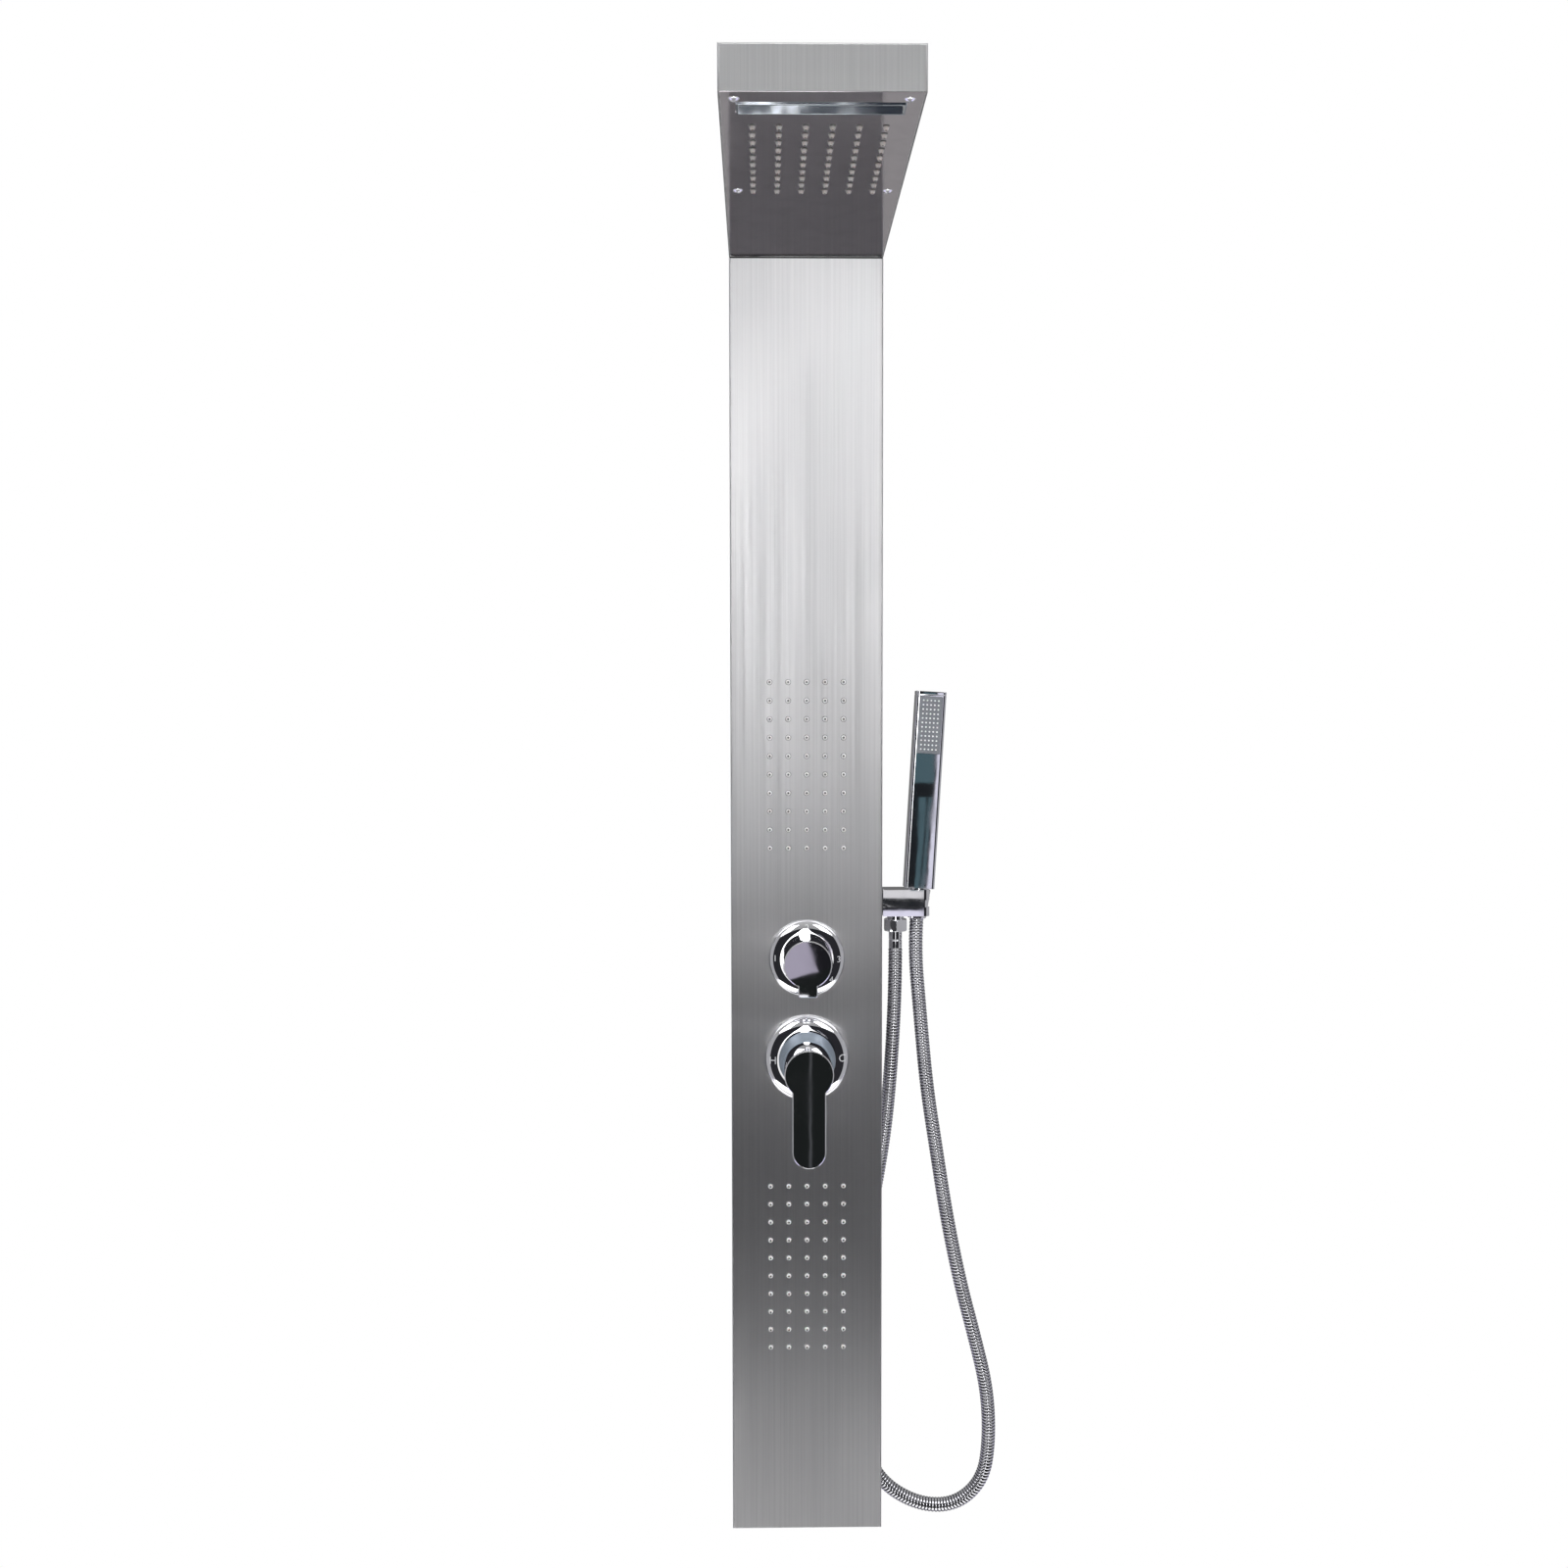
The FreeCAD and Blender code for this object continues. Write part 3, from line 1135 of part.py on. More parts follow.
def holder_point(x, rise):
    """A point in the holder's middle plane: X from the flange, rise from its middle."""
    return front(HALF_WIDTH + x, HOLDER_HEIGHT + rise, HOLDER_DEPTH_OUT)


def seat_point(along):
    """A point on the hand shower's leaning axis, measured from the holder's top."""
    return holder_point(SEAT_X, HOLDER_TOP_RISE).add(SEAT_AXIS * along)


def holder_inlet_tip():
    """The inner end of the holder's threaded inlet."""
    return V(HALF_WIDTH + HOLDER_GASKET - HOLDER_NIPPLE_LENGTH, y_at(HOLDER_DEPTH_OUT), z_at(HOLDER_HEIGHT))


def cone_radius(along):
    """The cone nut's radius at a place along the hand shower's axis."""
    share = (-CONE_TOP_DROP - along) / CONE_LENGTH
    return CONE_TOP_RADIUS + (CONE_BOTTOM_RADIUS - CONE_TOP_RADIUS) * share


def make_holder():
    """The grooved holder block with its seat, slot, inlet and hose outlet."""
    start = holder_point(HOLDER_GASKET, 0)
    x0 = start.x
    x1 = x0 + HOLDER_LENGTH
    y0 = start.y - HOLDER_HALF_DEPTH
    y1 = start.y + HOLDER_HALF_DEPTH
    low = start.z - HOLDER_BOTTOM_DROP
    high = start.z + HOLDER_TOP_RISE
    block = box(x0, x1, y0, y1, low, high)
    block = rounded(block, HOLDER_END_RADIUS, lambda m: near(m.x, x1) and (near(m.y, y0) or near(m.y, y1)))
    d = HOLDER_GROOVE_DEPTH
    groove_low = start.z + HOLDER_GROOVE[0]
    groove_high = start.z + HOLDER_GROOVE[1]
    groove = box(x0, x1, y0, y1, groove_low, groove_high)
    core = box(x0, x1 - d, y0 + d, y1 - d, groove_low, groove_high)
    core_end = HOLDER_END_RADIUS - d
    core_y = HOLDER_HALF_DEPTH - d
    core = rounded(core, core_end, lambda m: near(m.x, x1 - d) and near(abs(m.y - start.y), core_y))
    block = block.cut(groove.cut(core))
    thread = rod(OUTLET_THREAD_RADIUS, start, start.sub(RIGHT * HOLDER_THREAD_LENGTH))
    stub = rod(PIPE_RADIUS, start, holder_inlet_tip())
    corner = holder_point(OUTLET_X, 0)
    neck_top = holder_point(OUTLET_X, -HOLDER_BOTTOM_DROP)
    neck_end = neck_top.add(DOWN * OUTLET_THREAD_LENGTH)
    block = merged(block, thread, stub, rod(OUTLET_THREAD_RADIUS, neck_top, neck_end))
    reach = 2 * HOLDER_TOP_RISE
    cut_top = seat_point(reach / 4)
    cut_low = seat_point(-HOLDER_TOP_RISE - HOLDER_BOTTOM_DROP - reach / 4)
    cut_axis = cut_low.sub(cut_top)
    top_radius = cone_radius(reach / 4) + SEAT_CLEARANCE
    low_radius = cone_radius(-HOLDER_TOP_RISE - HOLDER_BOTTOM_DROP - reach / 4) + SEAT_CLEARANCE
    seat = Part.makeCone(top_radius, low_radius, cut_axis.Length, cut_top, cut_axis)
    slot = box(HALF_WIDTH + SEAT_X, x1, start.y - SEAT_SLOT / 2, start.y + SEAT_SLOT / 2, low, high)
    water = [rod(PIPE_BORE, holder_inlet_tip(), corner), rod(OUTLET_BORE, corner, neck_end)]
    water.append(Part.makeSphere(OUTLET_BORE, corner))
    save("handset_holder", drilled(block, [seat, slot] + water))

    outside = V(HALF_WIDTH, start.y, start.z)
    inside = V(INNER_HALF, start.y, start.z)
    save("holder_gasket", tube(HOLDER_NUT_FLATS / 2, OUTLET_THREAD_RADIUS + THREAD_CLEARANCE, outside, start))
    nut_end = inside.sub(RIGHT * HOLDER_NUT_LENGTH)
    nut_bore = OUTLET_THREAD_RADIUS + THREAD_CLEARANCE
    save("holder_backnut", hex_nut(HOLDER_NUT_FLATS, nut_bore, inside, nut_end))
    return neck_end


def make_hose_fittings(neck_end):
    """The hexagonal nut at the outlet, the cone nut, both ferrules and the washers."""
    nut_top = neck_end.add(UP * (OUTLET_THREAD_LENGTH - HEX_NUT_NECK))
    nut_end = nut_top.add(DOWN * HEX_NUT_LENGTH)
    washer_end = neck_end.add(DOWN * WASHER_THICKNESS)
    flange_end = washer_end.add(DOWN * FERRULE_FLANGE)
    nut = hex_nut(HEX_NUT_FLATS, FERRULE_RADIUS + RUNNING_CLEARANCE, nut_top, nut_end)
    nut = nut.cut(rod(OUTLET_THREAD_RADIUS + THREAD_CLEARANCE, nut_top, flange_end))
    save("hose_hex_nut", nut)
    ferrule_end = hose_start(neck_end)
    flange = rod(FERRULE_FLANGE_RADIUS, washer_end, flange_end)
    body = rod(FERRULE_RADIUS, flange_end, ferrule_end)
    bore = rod(HOSE_BORE, washer_end, ferrule_end)
    save("hose_lower_ferrule", merged(flange, body).cut(bore))

    top = seat_point(-CONE_TOP_DROP)
    low = seat_point(-CONE_TOP_DROP - CONE_LENGTH)
    cone = Part.makeCone(CONE_TOP_RADIUS, CONE_BOTTOM_RADIUS, CONE_LENGTH, top, low.sub(top))
    thread_end = connector_end()
    washer_low = thread_end.sub(SEAT_AXIS * WASHER_THICKNESS)
    flange_low = washer_low.sub(SEAT_AXIS * FERRULE_FLANGE)
    thread_hole = rod(CONNECTOR_THREAD_RADIUS + THREAD_CLEARANCE, top, washer_low)
    flange_radius = FERRULE_FLANGE_RADIUS + 2 * RUNNING_CLEARANCE
    flange_hole = rod(flange_radius, washer_low, flange_low)
    ferrule_hole = rod(FERRULE_RADIUS + 2 * RUNNING_CLEARANCE, flange_low, low)
    save("hose_cone_nut", drilled(cone, [thread_hole, flange_hole, ferrule_hole]))
    end = hose_end()
    flange = rod(FERRULE_FLANGE_RADIUS, washer_low, flange_low)
    body = rod(FERRULE_RADIUS, flange_low, end)
    save("hose_upper_ferrule", merged(flange, body).cut(rod(HOSE_BORE, washer_low, end)))
    washers = [tube(FERRULE_FLANGE_RADIUS, OUTLET_BORE, neck_end, washer_end)]
    save("outlet_washer", *washers)
    save("handset_washer", tube(CONNECTOR_THREAD_RADIUS, CONNECTOR_BORE, thread_end, washer_low))


def hose_start(neck_end):
    """Where the hose leaves its lower ferrule."""
    below = HEX_NUT_LENGTH - OUTLET_THREAD_LENGTH + HEX_NUT_NECK
    return neck_end.add(DOWN * (below + LOWER_FERRULE_LENGTH))


def hose_end():
    """Where the hose meets its upper ferrule, just below the cone nut."""
    return seat_point(-CONE_TOP_DROP - CONE_LENGTH - HOSE_END_PROUD)


def connector_end():
    """The lower end of the hand shower's threaded connector."""
    return seat_point(HANDSET_GAP - CONNECTOR_THREAD_LENGTH)


def hose_path(neck_end):
    """The hose's path: each arc takes the same share of the shorter run beside it."""
    start = hose_start(neck_end)
    end = hose_end()
    points = [start, start.add(DOWN * HOSE_START_RUN)]
    stretch = HOLDER_HEIGHT / HOSE_LAYOUT_HEIGHT
    points += [V(x, y, z_at(height * stretch)) for x, y, height in HOSE_POINTS]
    points += [end.sub(SEAT_AXIS * HOSE_END_RUN), end]
    radii = []
    for before, corner, after in zip(points, points[1:], points[2:]):
        arriving = corner.sub(before)
        leaving = after.sub(corner)
        shorter = min(arriving.Length, leaving.Length)
        radii.append(HOSE_RUN_SHARE * shorter / math.tan(arriving.getAngle(leaving) / 2))
    print("hose bend radii", [round(radius) for radius in radii])
    return path_edges(points, radii)


def make_hose(neck_end):
    """The ribbed hose: a ruled loft through four circles a rib, with its bore."""
    edges = hose_path(neck_end)
    length = sum(edge.Length for edge in edges)
    pitch = length / HOSE_RIBS
    crest = HOSE_SLOPE_SHARE
    stations = []
    for rib in range(HOSE_RIBS):
        for share, radius in (
            (0.0, HOSE_VALLEY_RADIUS),
            (crest, HOSE_RADIUS),
            (crest + HOSE_CREST_SHARE, HOSE_RADIUS),
            (2 * crest + HOSE_CREST_SHARE, HOSE_VALLEY_RADIUS),
        ):
            stations.append(((rib + share) * pitch, radius))
    stations.append((length, HOSE_VALLEY_RADIUS))
    rings = []
    passed = 0.0
    index = 0
    for place, radius in stations:
        while place > passed + edges[index].Length + 1e-6 and index < len(edges) - 1:
            passed += edges[index].Length
            index += 1
        edge = edges[index]
        at = edge.getParameterByLength(min(place - passed, edge.Length))
        tangent = edge.tangentAt(at)
        ring = Part.makeCircle(radius)
        side = INWARD.cross(tangent)
        ring.Placement = FreeCAD.Placement(edge.valueAt(at), FreeCAD.Rotation(side, INWARD, tangent, "ZXY"))
        rings.append(Part.Wire([ring]))
    skin = Part.makeLoft(rings, True, True)
    path = Part.Wire(edges)
    mouth = Part.Wire([Part.makeCircle(HOSE_BORE, hose_start(neck_end), DOWN)])
    hose = skin.cut(path.makePipeShell([mouth], True, False))
    slope = (HOSE_RADIUS**2 + HOSE_RADIUS * HOSE_VALLEY_RADIUS + HOSE_VALLEY_RADIUS**2) / 3
    share = HOSE_CREST_SHARE * HOSE_RADIUS**2 + 2 * crest * slope
    share += (1 - 2 * crest - HOSE_CREST_SHARE) * HOSE_VALLEY_RADIUS**2
    expected = math.pi * (share - HOSE_BORE**2) * length
    print(f"hose length {length:.1f}  volume {hose.Volume:.0f}  section times length {expected:.0f}")
    save("hose", hose)


def lean(shape):
    """A piece of the hand shower, moved from its own frame onto its leaning axis."""
    base = seat_point(HANDSET_GAP)
    shape.Placement = FreeCAD.Placement(base, FreeCAD.Rotation(UP, SEAT_AXIS)).multiply(shape.Placement)
    return shape


def make_handset():
    """The hand shower, standing on the origin of its own frame with its face to -Y."""
    half_w = HANDSET_WIDTH / 2
    half_d = HANDSET_DEPTH / 2
    inner_w = half_w - HANDSET_WALL
    inner_d = half_d - HANDSET_WALL
    top = HANDSET_LENGTH - HANDSET_CAP
    body = box(-half_w, half_w, -half_d, half_d, 0, top)
    body = rounded(body, HANDSET_CORNER, lambda m: near(abs(m.x), half_w) and near(abs(m.y), half_d))
    cavity = box(-inner_w, inner_w, -inner_d, inner_d, HANDSET_WALL, top)
    face_half = HANDSET_FACE_WIDTH / 2
    face_top = top - HANDSET_FACE_TOP
    face_low = face_top - HANDSET_FACE_LENGTH
    gap = HANDSET_FACE_GAP
    window = box(-face_half - gap, face_half + gap, -half_d, -inner_d, face_low - gap, face_top + gap)
    foot = rod(CONNECTOR_BODY_RADIUS + THREAD_CLEARANCE, V(0, 0, 0), V(0, 0, HANDSET_WALL))
    save("handset_body", lean(drilled(body, [cavity, window, foot])))

    cap = box(-half_w, half_w, -half_d, half_d, top, HANDSET_LENGTH)
    cap = rounded(cap, HANDSET_CORNER, lambda m: near(abs(m.x), half_w) and near(abs(m.y), half_d))
    plug_w = inner_w - gap
    plug_d = inner_d - gap
    plug = box(-plug_w, plug_w, -plug_d + HANDSET_MAT, plug_d, top - HANDSET_CAP_PLUG, top)
    save("handset_cap", lean(merged(cap, plug)))

    centre_z = (face_low + face_top) / 2
    spots = []
    for i in range(HANDSET_COLUMNS):
        for j in range(HANDSET_ROWS):
            x = (i - (HANDSET_COLUMNS - 1) / 2) * HANDSET_PITCH_ACROSS
            spots.append(V(x, 0, centre_z + (j - (HANDSET_ROWS - 1) / 2) * HANDSET_PITCH_ALONG))
    face = box(-face_half, face_half, -half_d, -inner_d, face_low, face_top)
    back = V(0, -inner_d, 0)
    holes = [rod(HANDSET_NOZZLE + gap, spot.add(back), spot.sub(V(0, half_d, 0))) for spot in spots]
    save("handset_face", lean(drilled(face, holes)))

    lap = HANDSET_MAT_LAP
    mat_back = -inner_d + HANDSET_MAT
    mat_w = face_half + lap
    mat = box(-mat_w, mat_w, -inner_d, mat_back, face_low - lap, face_top + lap / 2)
    nub_end = V(0, -half_d - HANDSET_NOZZLE_PROUD, 0)
    nubs = [rod(HANDSET_NOZZLE, spot.add(V(0, mat_back, 0)), spot.add(nub_end)) for spot in spots]
    save("handset_nozzles", lean(merged(mat, *nubs)))

    chamber_back = mat_back + HANDSET_CHAMBER_DEPTH
    wall = HANDSET_CHAMBER_WALL
    low = face_low - lap
    high = face_top + lap / 2
    shell = box(-mat_w, mat_w, mat_back, chamber_back, low, high)
    room = box(-mat_w + wall, mat_w - wall, mat_back, chamber_back - wall, low + wall, high - wall)
    tube_start = V(0, 0, CONNECTOR_BODY_LENGTH)
    tube_end = V(0, 0, low)
    bore = rod(HANDSET_TUBE_BORE, V(0, 0, low), V(0, 0, low + wall))
    save("handset_chamber", lean(drilled(shell, [room, bore])))
    save("handset_waterway", lean(tube(HANDSET_TUBE_RADIUS, HANDSET_TUBE_BORE, tube_start, tube_end)))

    thread = rod(CONNECTOR_THREAD_RADIUS, V(0, 0, -CONNECTOR_THREAD_LENGTH), V(0, 0, 0))
    inside = rod(CONNECTOR_BODY_RADIUS, V(0, 0, 0), tube_start)
    lower_bore = rod(CONNECTOR_BORE, V(0, 0, -CONNECTOR_THREAD_LENGTH), V(0, 0, CONNECTOR_BODY_LENGTH / 2))
    upper_bore = rod(HANDSET_TUBE_BORE, V(0, 0, 0), tube_start)
    save("handset_connector", lean(drilled(merged(thread, inside), [lower_bore, upper_bore])))


def main():
    """Builds every piece in the order of its assembly."""
    os.makedirs("parts", exist_ok=True)
    make_column_casing()
    make_head()
    make_nozzle_fields()
    make_waterfall()
    make_brackets()
    make_mixer_body()
    make_mixer_lever()
    make_diverter()
    make_pipes()
    neck_end = make_holder()
    make_hose_fittings(neck_end)
    make_hose(neck_end)
    make_handset()


main()
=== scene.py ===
"""Wall-hung stainless shower panel: column, rain head, jets, mixer, diverter and hand shower."""

import json
import logging
import math
from dataclasses import dataclass, field
from enum import Enum
from typing import Any, Iterable, Sequence

import bmesh
import bpy
from mathutils import Matrix, Vector
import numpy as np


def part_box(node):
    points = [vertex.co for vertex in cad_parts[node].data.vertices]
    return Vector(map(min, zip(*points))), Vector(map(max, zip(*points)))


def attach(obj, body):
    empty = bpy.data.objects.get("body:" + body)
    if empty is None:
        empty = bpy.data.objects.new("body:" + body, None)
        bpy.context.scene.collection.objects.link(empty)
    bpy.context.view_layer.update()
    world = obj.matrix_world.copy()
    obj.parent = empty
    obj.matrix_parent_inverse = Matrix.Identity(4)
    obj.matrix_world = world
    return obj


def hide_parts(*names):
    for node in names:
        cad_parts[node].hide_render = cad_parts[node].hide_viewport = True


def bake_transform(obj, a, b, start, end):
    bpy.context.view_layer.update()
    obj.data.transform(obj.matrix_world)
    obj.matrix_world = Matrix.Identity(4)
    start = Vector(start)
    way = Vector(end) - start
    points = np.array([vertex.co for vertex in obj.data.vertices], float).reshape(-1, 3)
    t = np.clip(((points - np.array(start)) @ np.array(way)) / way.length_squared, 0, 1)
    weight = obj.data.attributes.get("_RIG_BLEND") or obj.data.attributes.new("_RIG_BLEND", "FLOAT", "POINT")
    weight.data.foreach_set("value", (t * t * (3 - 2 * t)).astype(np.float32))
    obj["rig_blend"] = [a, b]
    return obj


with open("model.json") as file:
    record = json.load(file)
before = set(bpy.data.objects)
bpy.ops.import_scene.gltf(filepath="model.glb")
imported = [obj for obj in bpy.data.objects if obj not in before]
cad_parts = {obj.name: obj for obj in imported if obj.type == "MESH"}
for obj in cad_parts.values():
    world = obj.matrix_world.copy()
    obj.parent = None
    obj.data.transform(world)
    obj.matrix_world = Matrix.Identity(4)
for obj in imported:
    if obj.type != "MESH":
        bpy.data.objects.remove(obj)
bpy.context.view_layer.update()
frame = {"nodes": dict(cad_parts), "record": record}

LOG = logging.getLogger("shower_panel")

MM = 0.001
FACE_TO_WALL = 50.0
DATUM_HEIGHT = 1180.0
SHEET = 1.2
HEAD_UNDERSIDE = 1266.0
HEAD_FLOOR = 0.09
OUTWARD = Vector((0.0, -1.0, 0.0))
INWARD = Vector((0.0, 1.0, 0.0))
RIGHT = Vector((1.0, 0.0, 0.0))
UP = Vector((0.0, 0.0, 1.0))

CAST_MERGE = 1e-7
CAD_MERGE = 2e-6
FLAT_ANGLE = math.radians(0.4)
BEVEL_ANGLE = math.radians(33.0)
SHARP_ANGLE = math.radians(34.0)
NOZZLE_SHARP_ANGLE = math.radians(50.0)
CAPITAL_TO_FONT = 1.4

Pair = tuple[float, float]
Triple = tuple[float, float, float]
Colour = Triple
Piece = bpy.types.Object
Blank = bmesh.types.BMesh
Corner = bmesh.types.BMVert
Link = bpy.types.NodeSocket


class Body(Enum):
    """The bodies that pieces ride on."""

    COLUMN = "column"
    LEVER = "mixer_lever"
    KNOB = "diverter_knob"
    HOSE_END = "hose_end"
    HAND_SHOWER = "hand_shower"


class Slot(Enum):
    """The record's material slots."""

    SHEET = "sheet"
    PLATE = "plate"
    INNER_STEEL = "inner_steel"
    CHROME = "chrome"
    HOSE_STEEL = "hose_steel"
    SATIN = "satin"
    SILICONE = "silicone"
    CHAMBER = "chamber"
    BRASS = "brass"
    CARTRIDGE = "cartridge"
    SEAL = "seal"
    PIPE = "pipe"
    GREY_FACE = "grey_face"
    INDEX = "index"


class Cut(Enum):
    """What a tool does to the piece that it cuts."""

    TAKE_AWAY = "DIFFERENCE"
    KEEP_SHARED = "INTERSECT"


def spot(x: float, height: float, out: float = 0.0) -> Vector:
    """A place on the panel.

    Args:
        x: Millimetres to the right of the column's middle.
        height: Millimetres above the column's lower end.
        out: Millimetres in front of the column's face.

    Returns:
        The point in metres.
    """
    return Vector((x, -(FACE_TO_WALL + out), height - DATUM_HEIGHT)) * MM


# ---- finishes -------------------------------------------------------------------------


class Wiring:
    """Adds, sets and links the nodes of one shader."""

    def __init__(self, tree: bpy.types.NodeTree) -> None:
        """Starts on a cleared tree."""
        self.tree = tree
        tree.nodes.clear()

    def node(self, kind: str, settings: dict[str, Any] | None = None, **inputs: Any) -> bpy.types.Node:
        """Adds a node.

        Args:
            kind: The node's type.
            settings: Its properties.
            **inputs: Values or output sockets by input name, with _ for a space, or by _ and its index.

        Returns:
            The node.
        """
        made = self.tree.nodes.new(kind)
        for name, value in (settings or {}).items():
            setattr(made, name, value)
        for name, value in inputs.items():
            key = int(name[1:]) if name[1:].isdigit() else name.replace("_", " ")
            socket = made.inputs[key]
            if isinstance(value, Link):
                self.tree.links.new(value, socket)
            else:
                socket.default_value = value
        return made

    def maths(self, operation: str, first: Any, second: Any = 0.0) -> Link:
        """A difference, a quotient or another operation on one or two values."""
        return self.node("ShaderNodeMath", {"operation": operation}, _0=first, _1=second).outputs[0]

    def product(self, first: Any, second: Any) -> Link:
        """Two values multiplied."""
        return self.maths("MULTIPLY", first, second)

    def total(self, first: Any, second: Any) -> Link:
        """Two values added."""
        return self.maths("ADD", first, second)

    def ranged(self, value: Any, low: float, high: float, start: float = 0.0, end: float = 1.0) -> Link:
        """A smooth step, from start where the value is low to end where it is high.

        Args:
            value: The value.
            low: Where the step starts.
            high: Where it ends.
            start: The result below it.
            end: The result above it.

        Returns:
            The result.
        """
        smooth = {"interpolation_type": "SMOOTHSTEP"}
        span = {"From_Min": low, "From_Max": high, "To_Min": start, "To_Max": end}
        return self.node("ShaderNodeMapRange", smooth, Value=value, **span).outputs[0]

    def mixed(self, share: Any, first: Any, second: Any) -> Link:
        """A blend of two colours."""
        return self.node("ShaderNodeMix", {"data_type": "RGBA"}, _0=share, _6=first, _7=second).outputs[2]

    def noise(self, scale: Triple | float, detail: float = 2.0, mapped: str = "") -> Link:
        """Noise, which three different scales stretch.

        Args:
            scale: Cycles per metre, in three directions or in all alike.
            detail: How many finer layers it has.
            mapped: A UV map to lay it on, or else it lies in the object's coordinates.

        Returns:
            The noise, about 0.5.
        """
        if mapped:
            place = self.node("ShaderNodeUVMap", {"uv_map": mapped}).outputs[0]
        else:
            place = self.node("ShaderNodeTexCoord").outputs["Object"]
        scales = scale if isinstance(scale, tuple) else (scale,) * 3
        stretched = self.node("ShaderNodeMapping", Vector=place, Scale=scales).outputs[0]
        return self.node("ShaderNodeTexNoise", Vector=stretched, Scale=1.0, Detail=detail).outputs[0]

    def rise(self) -> Link:
        """The attribute rise of a turned or wound piece."""
        return self.node("ShaderNodeAttribute", {"attribute_name": "rise"}).outputs["Fac"]

    def bump(self, height: Any, depth: float) -> Link:
        """A bump of a depth in metres."""
        return self.node("ShaderNodeBump", Height=height, Distance=depth).outputs[0]

    def surface(self, **inputs: Any) -> None:
        """The shader and the material's output."""
        shader = self.node("ShaderNodeBsdfPrincipled", **inputs).outputs[0]
        self.node("ShaderNodeOutputMaterial", Surface=shader)


def opaque(colour: Iterable[float], share: float = 1.0) -> tuple[float, ...]:
    """A colour, darkened to a share of itself, with full alpha."""
    return (*(part * share for part in colour), 1.0)


@dataclass(frozen=True)
class Finish:
    """A surface finish, made into one material the first time it is used."""

    name: str
    colour: Colour
    roughness: float

    def material(self) -> bpy.types.Material:
        """The finish's material.

        Returns:
            The material.
        """
        made = bpy.data.materials.get(self.name)
        if made is None:
            made = bpy.data.materials.new(self.name)
            made.use_nodes = True
            self.wire(Wiring(made.node_tree))
            made.diffuse_color = opaque(self.colour)
        return made

    def wire(self, wiring: Wiring) -> None:
        """Builds the nodes."""
        raise NotImplementedError

    def tinted(self, wiring: Wiring, share: Any, shade: float) -> Link:
        """The colour, darkened by a shade where the share is high."""
        return wiring.mixed(share, opaque(self.colour), opaque(self.colour, 1.0 - shade))


@dataclass(frozen=True)
class BrushedSteel(Finish):
    """Stainless sheet with a long grain, fine scratches and faint clouds.

    The pattern follows the UV map Grain, whose second direction is the grain's.
    """

    spread: float = 0.93
    shade: float = 0.10
    threads: Triple = (3200.0, 7.0, 1.0)
    bands: Triple = (420.0, 1.6, 1.0)
    clouds: Triple = (9.0, 3.0, 1.0)
    relief: float = 0.000006

    def wire(self, wiring: Wiring) -> None:
        """Builds the nodes.

        Args:
            wiring: The shader's wiring.
        """
        threads, bands, clouds = (
            wiring.noise(scale, 3.0, mapped="Grain") for scale in (self.threads, self.bands, self.clouds)
        )
        both = wiring.total(wiring.product(threads, 0.5), wiring.product(bands, 0.5))
        streaks = wiring.ranged(both, 0.36, 0.66)
        worn = wiring.ranged(clouds, 0.35, 0.7, -0.015, 0.02)
        rough = wiring.ranged(both, 0.3, 0.7, self.roughness - 0.03, self.roughness + 0.04)
        along = {"direction_type": "UV_MAP", "uv_map": "Grain"}
        wiring.surface(
            Base_Color=self.tinted(wiring, streaks, self.shade),
            Metallic=1.0,
            Roughness=wiring.total(rough, worn),
            Anisotropic=self.spread,
            Tangent=wiring.node("ShaderNodeTangent", along).outputs[0],
            Normal=wiring.bump(both, self.relief),
        )


@dataclass(frozen=True)
class Polished(Finish):
    """Mirror metal with faint wipe marks and the slight waviness of plated castings."""

    ripple: float = 0.00002
    marks: float = 0.05

    def wire(self, wiring: Wiring) -> None:
        """Builds the nodes.

        Args:
            wiring: The shader's wiring.
        """
        wiped = wiring.ranged(wiring.noise((45.0, 45.0, 18.0), 4.0), 0.42, 0.75)
        waves = wiring.noise(60.0, 1.0)
        wiring.surface(
            Base_Color=self.tinted(wiring, wiped, 0.07),
            Metallic=1.0,
            Roughness=wiring.total(wiring.product(wiped, self.marks), self.roughness),
            Normal=wiring.bump(waves, self.ripple),
        )


@dataclass(frozen=True)
class WoundStrip(Finish):
    """A hose's wound bright strip, rougher in the gaps between its turns and painted dark there as shade.

    The attribute rise is 0 in a gap and 1 on a turn.
    """

    # The share of the colour left in the gaps between turns, a painted shade.
    gap_shade: float = 0.01

    def wire(self, wiring: Wiring) -> None:
        """Builds the nodes.

        Args:
            wiring: The shader's wiring.
        """
        rise = wiring.rise()
        turn = wiring.ranged(rise, 0.45, 0.95)
        wiped = wiring.ranged(wiring.noise(60.0, 3.0), 0.4, 0.72)
        # Painted shade: the gaps between the turns are darkened nearly to black.
        gap = opaque(self.colour, self.gap_shade)
        wiring.surface(
            Base_Color=wiring.mixed(turn, gap, self.tinted(wiring, wiped, 0.15)),
            Metallic=1.0,
            Roughness=wiring.total(wiring.ranged(rise, 0.2, 0.9, 0.35, 0.0), self.roughness),
            Normal=wiring.bump(wiped, 0.00001),
        )


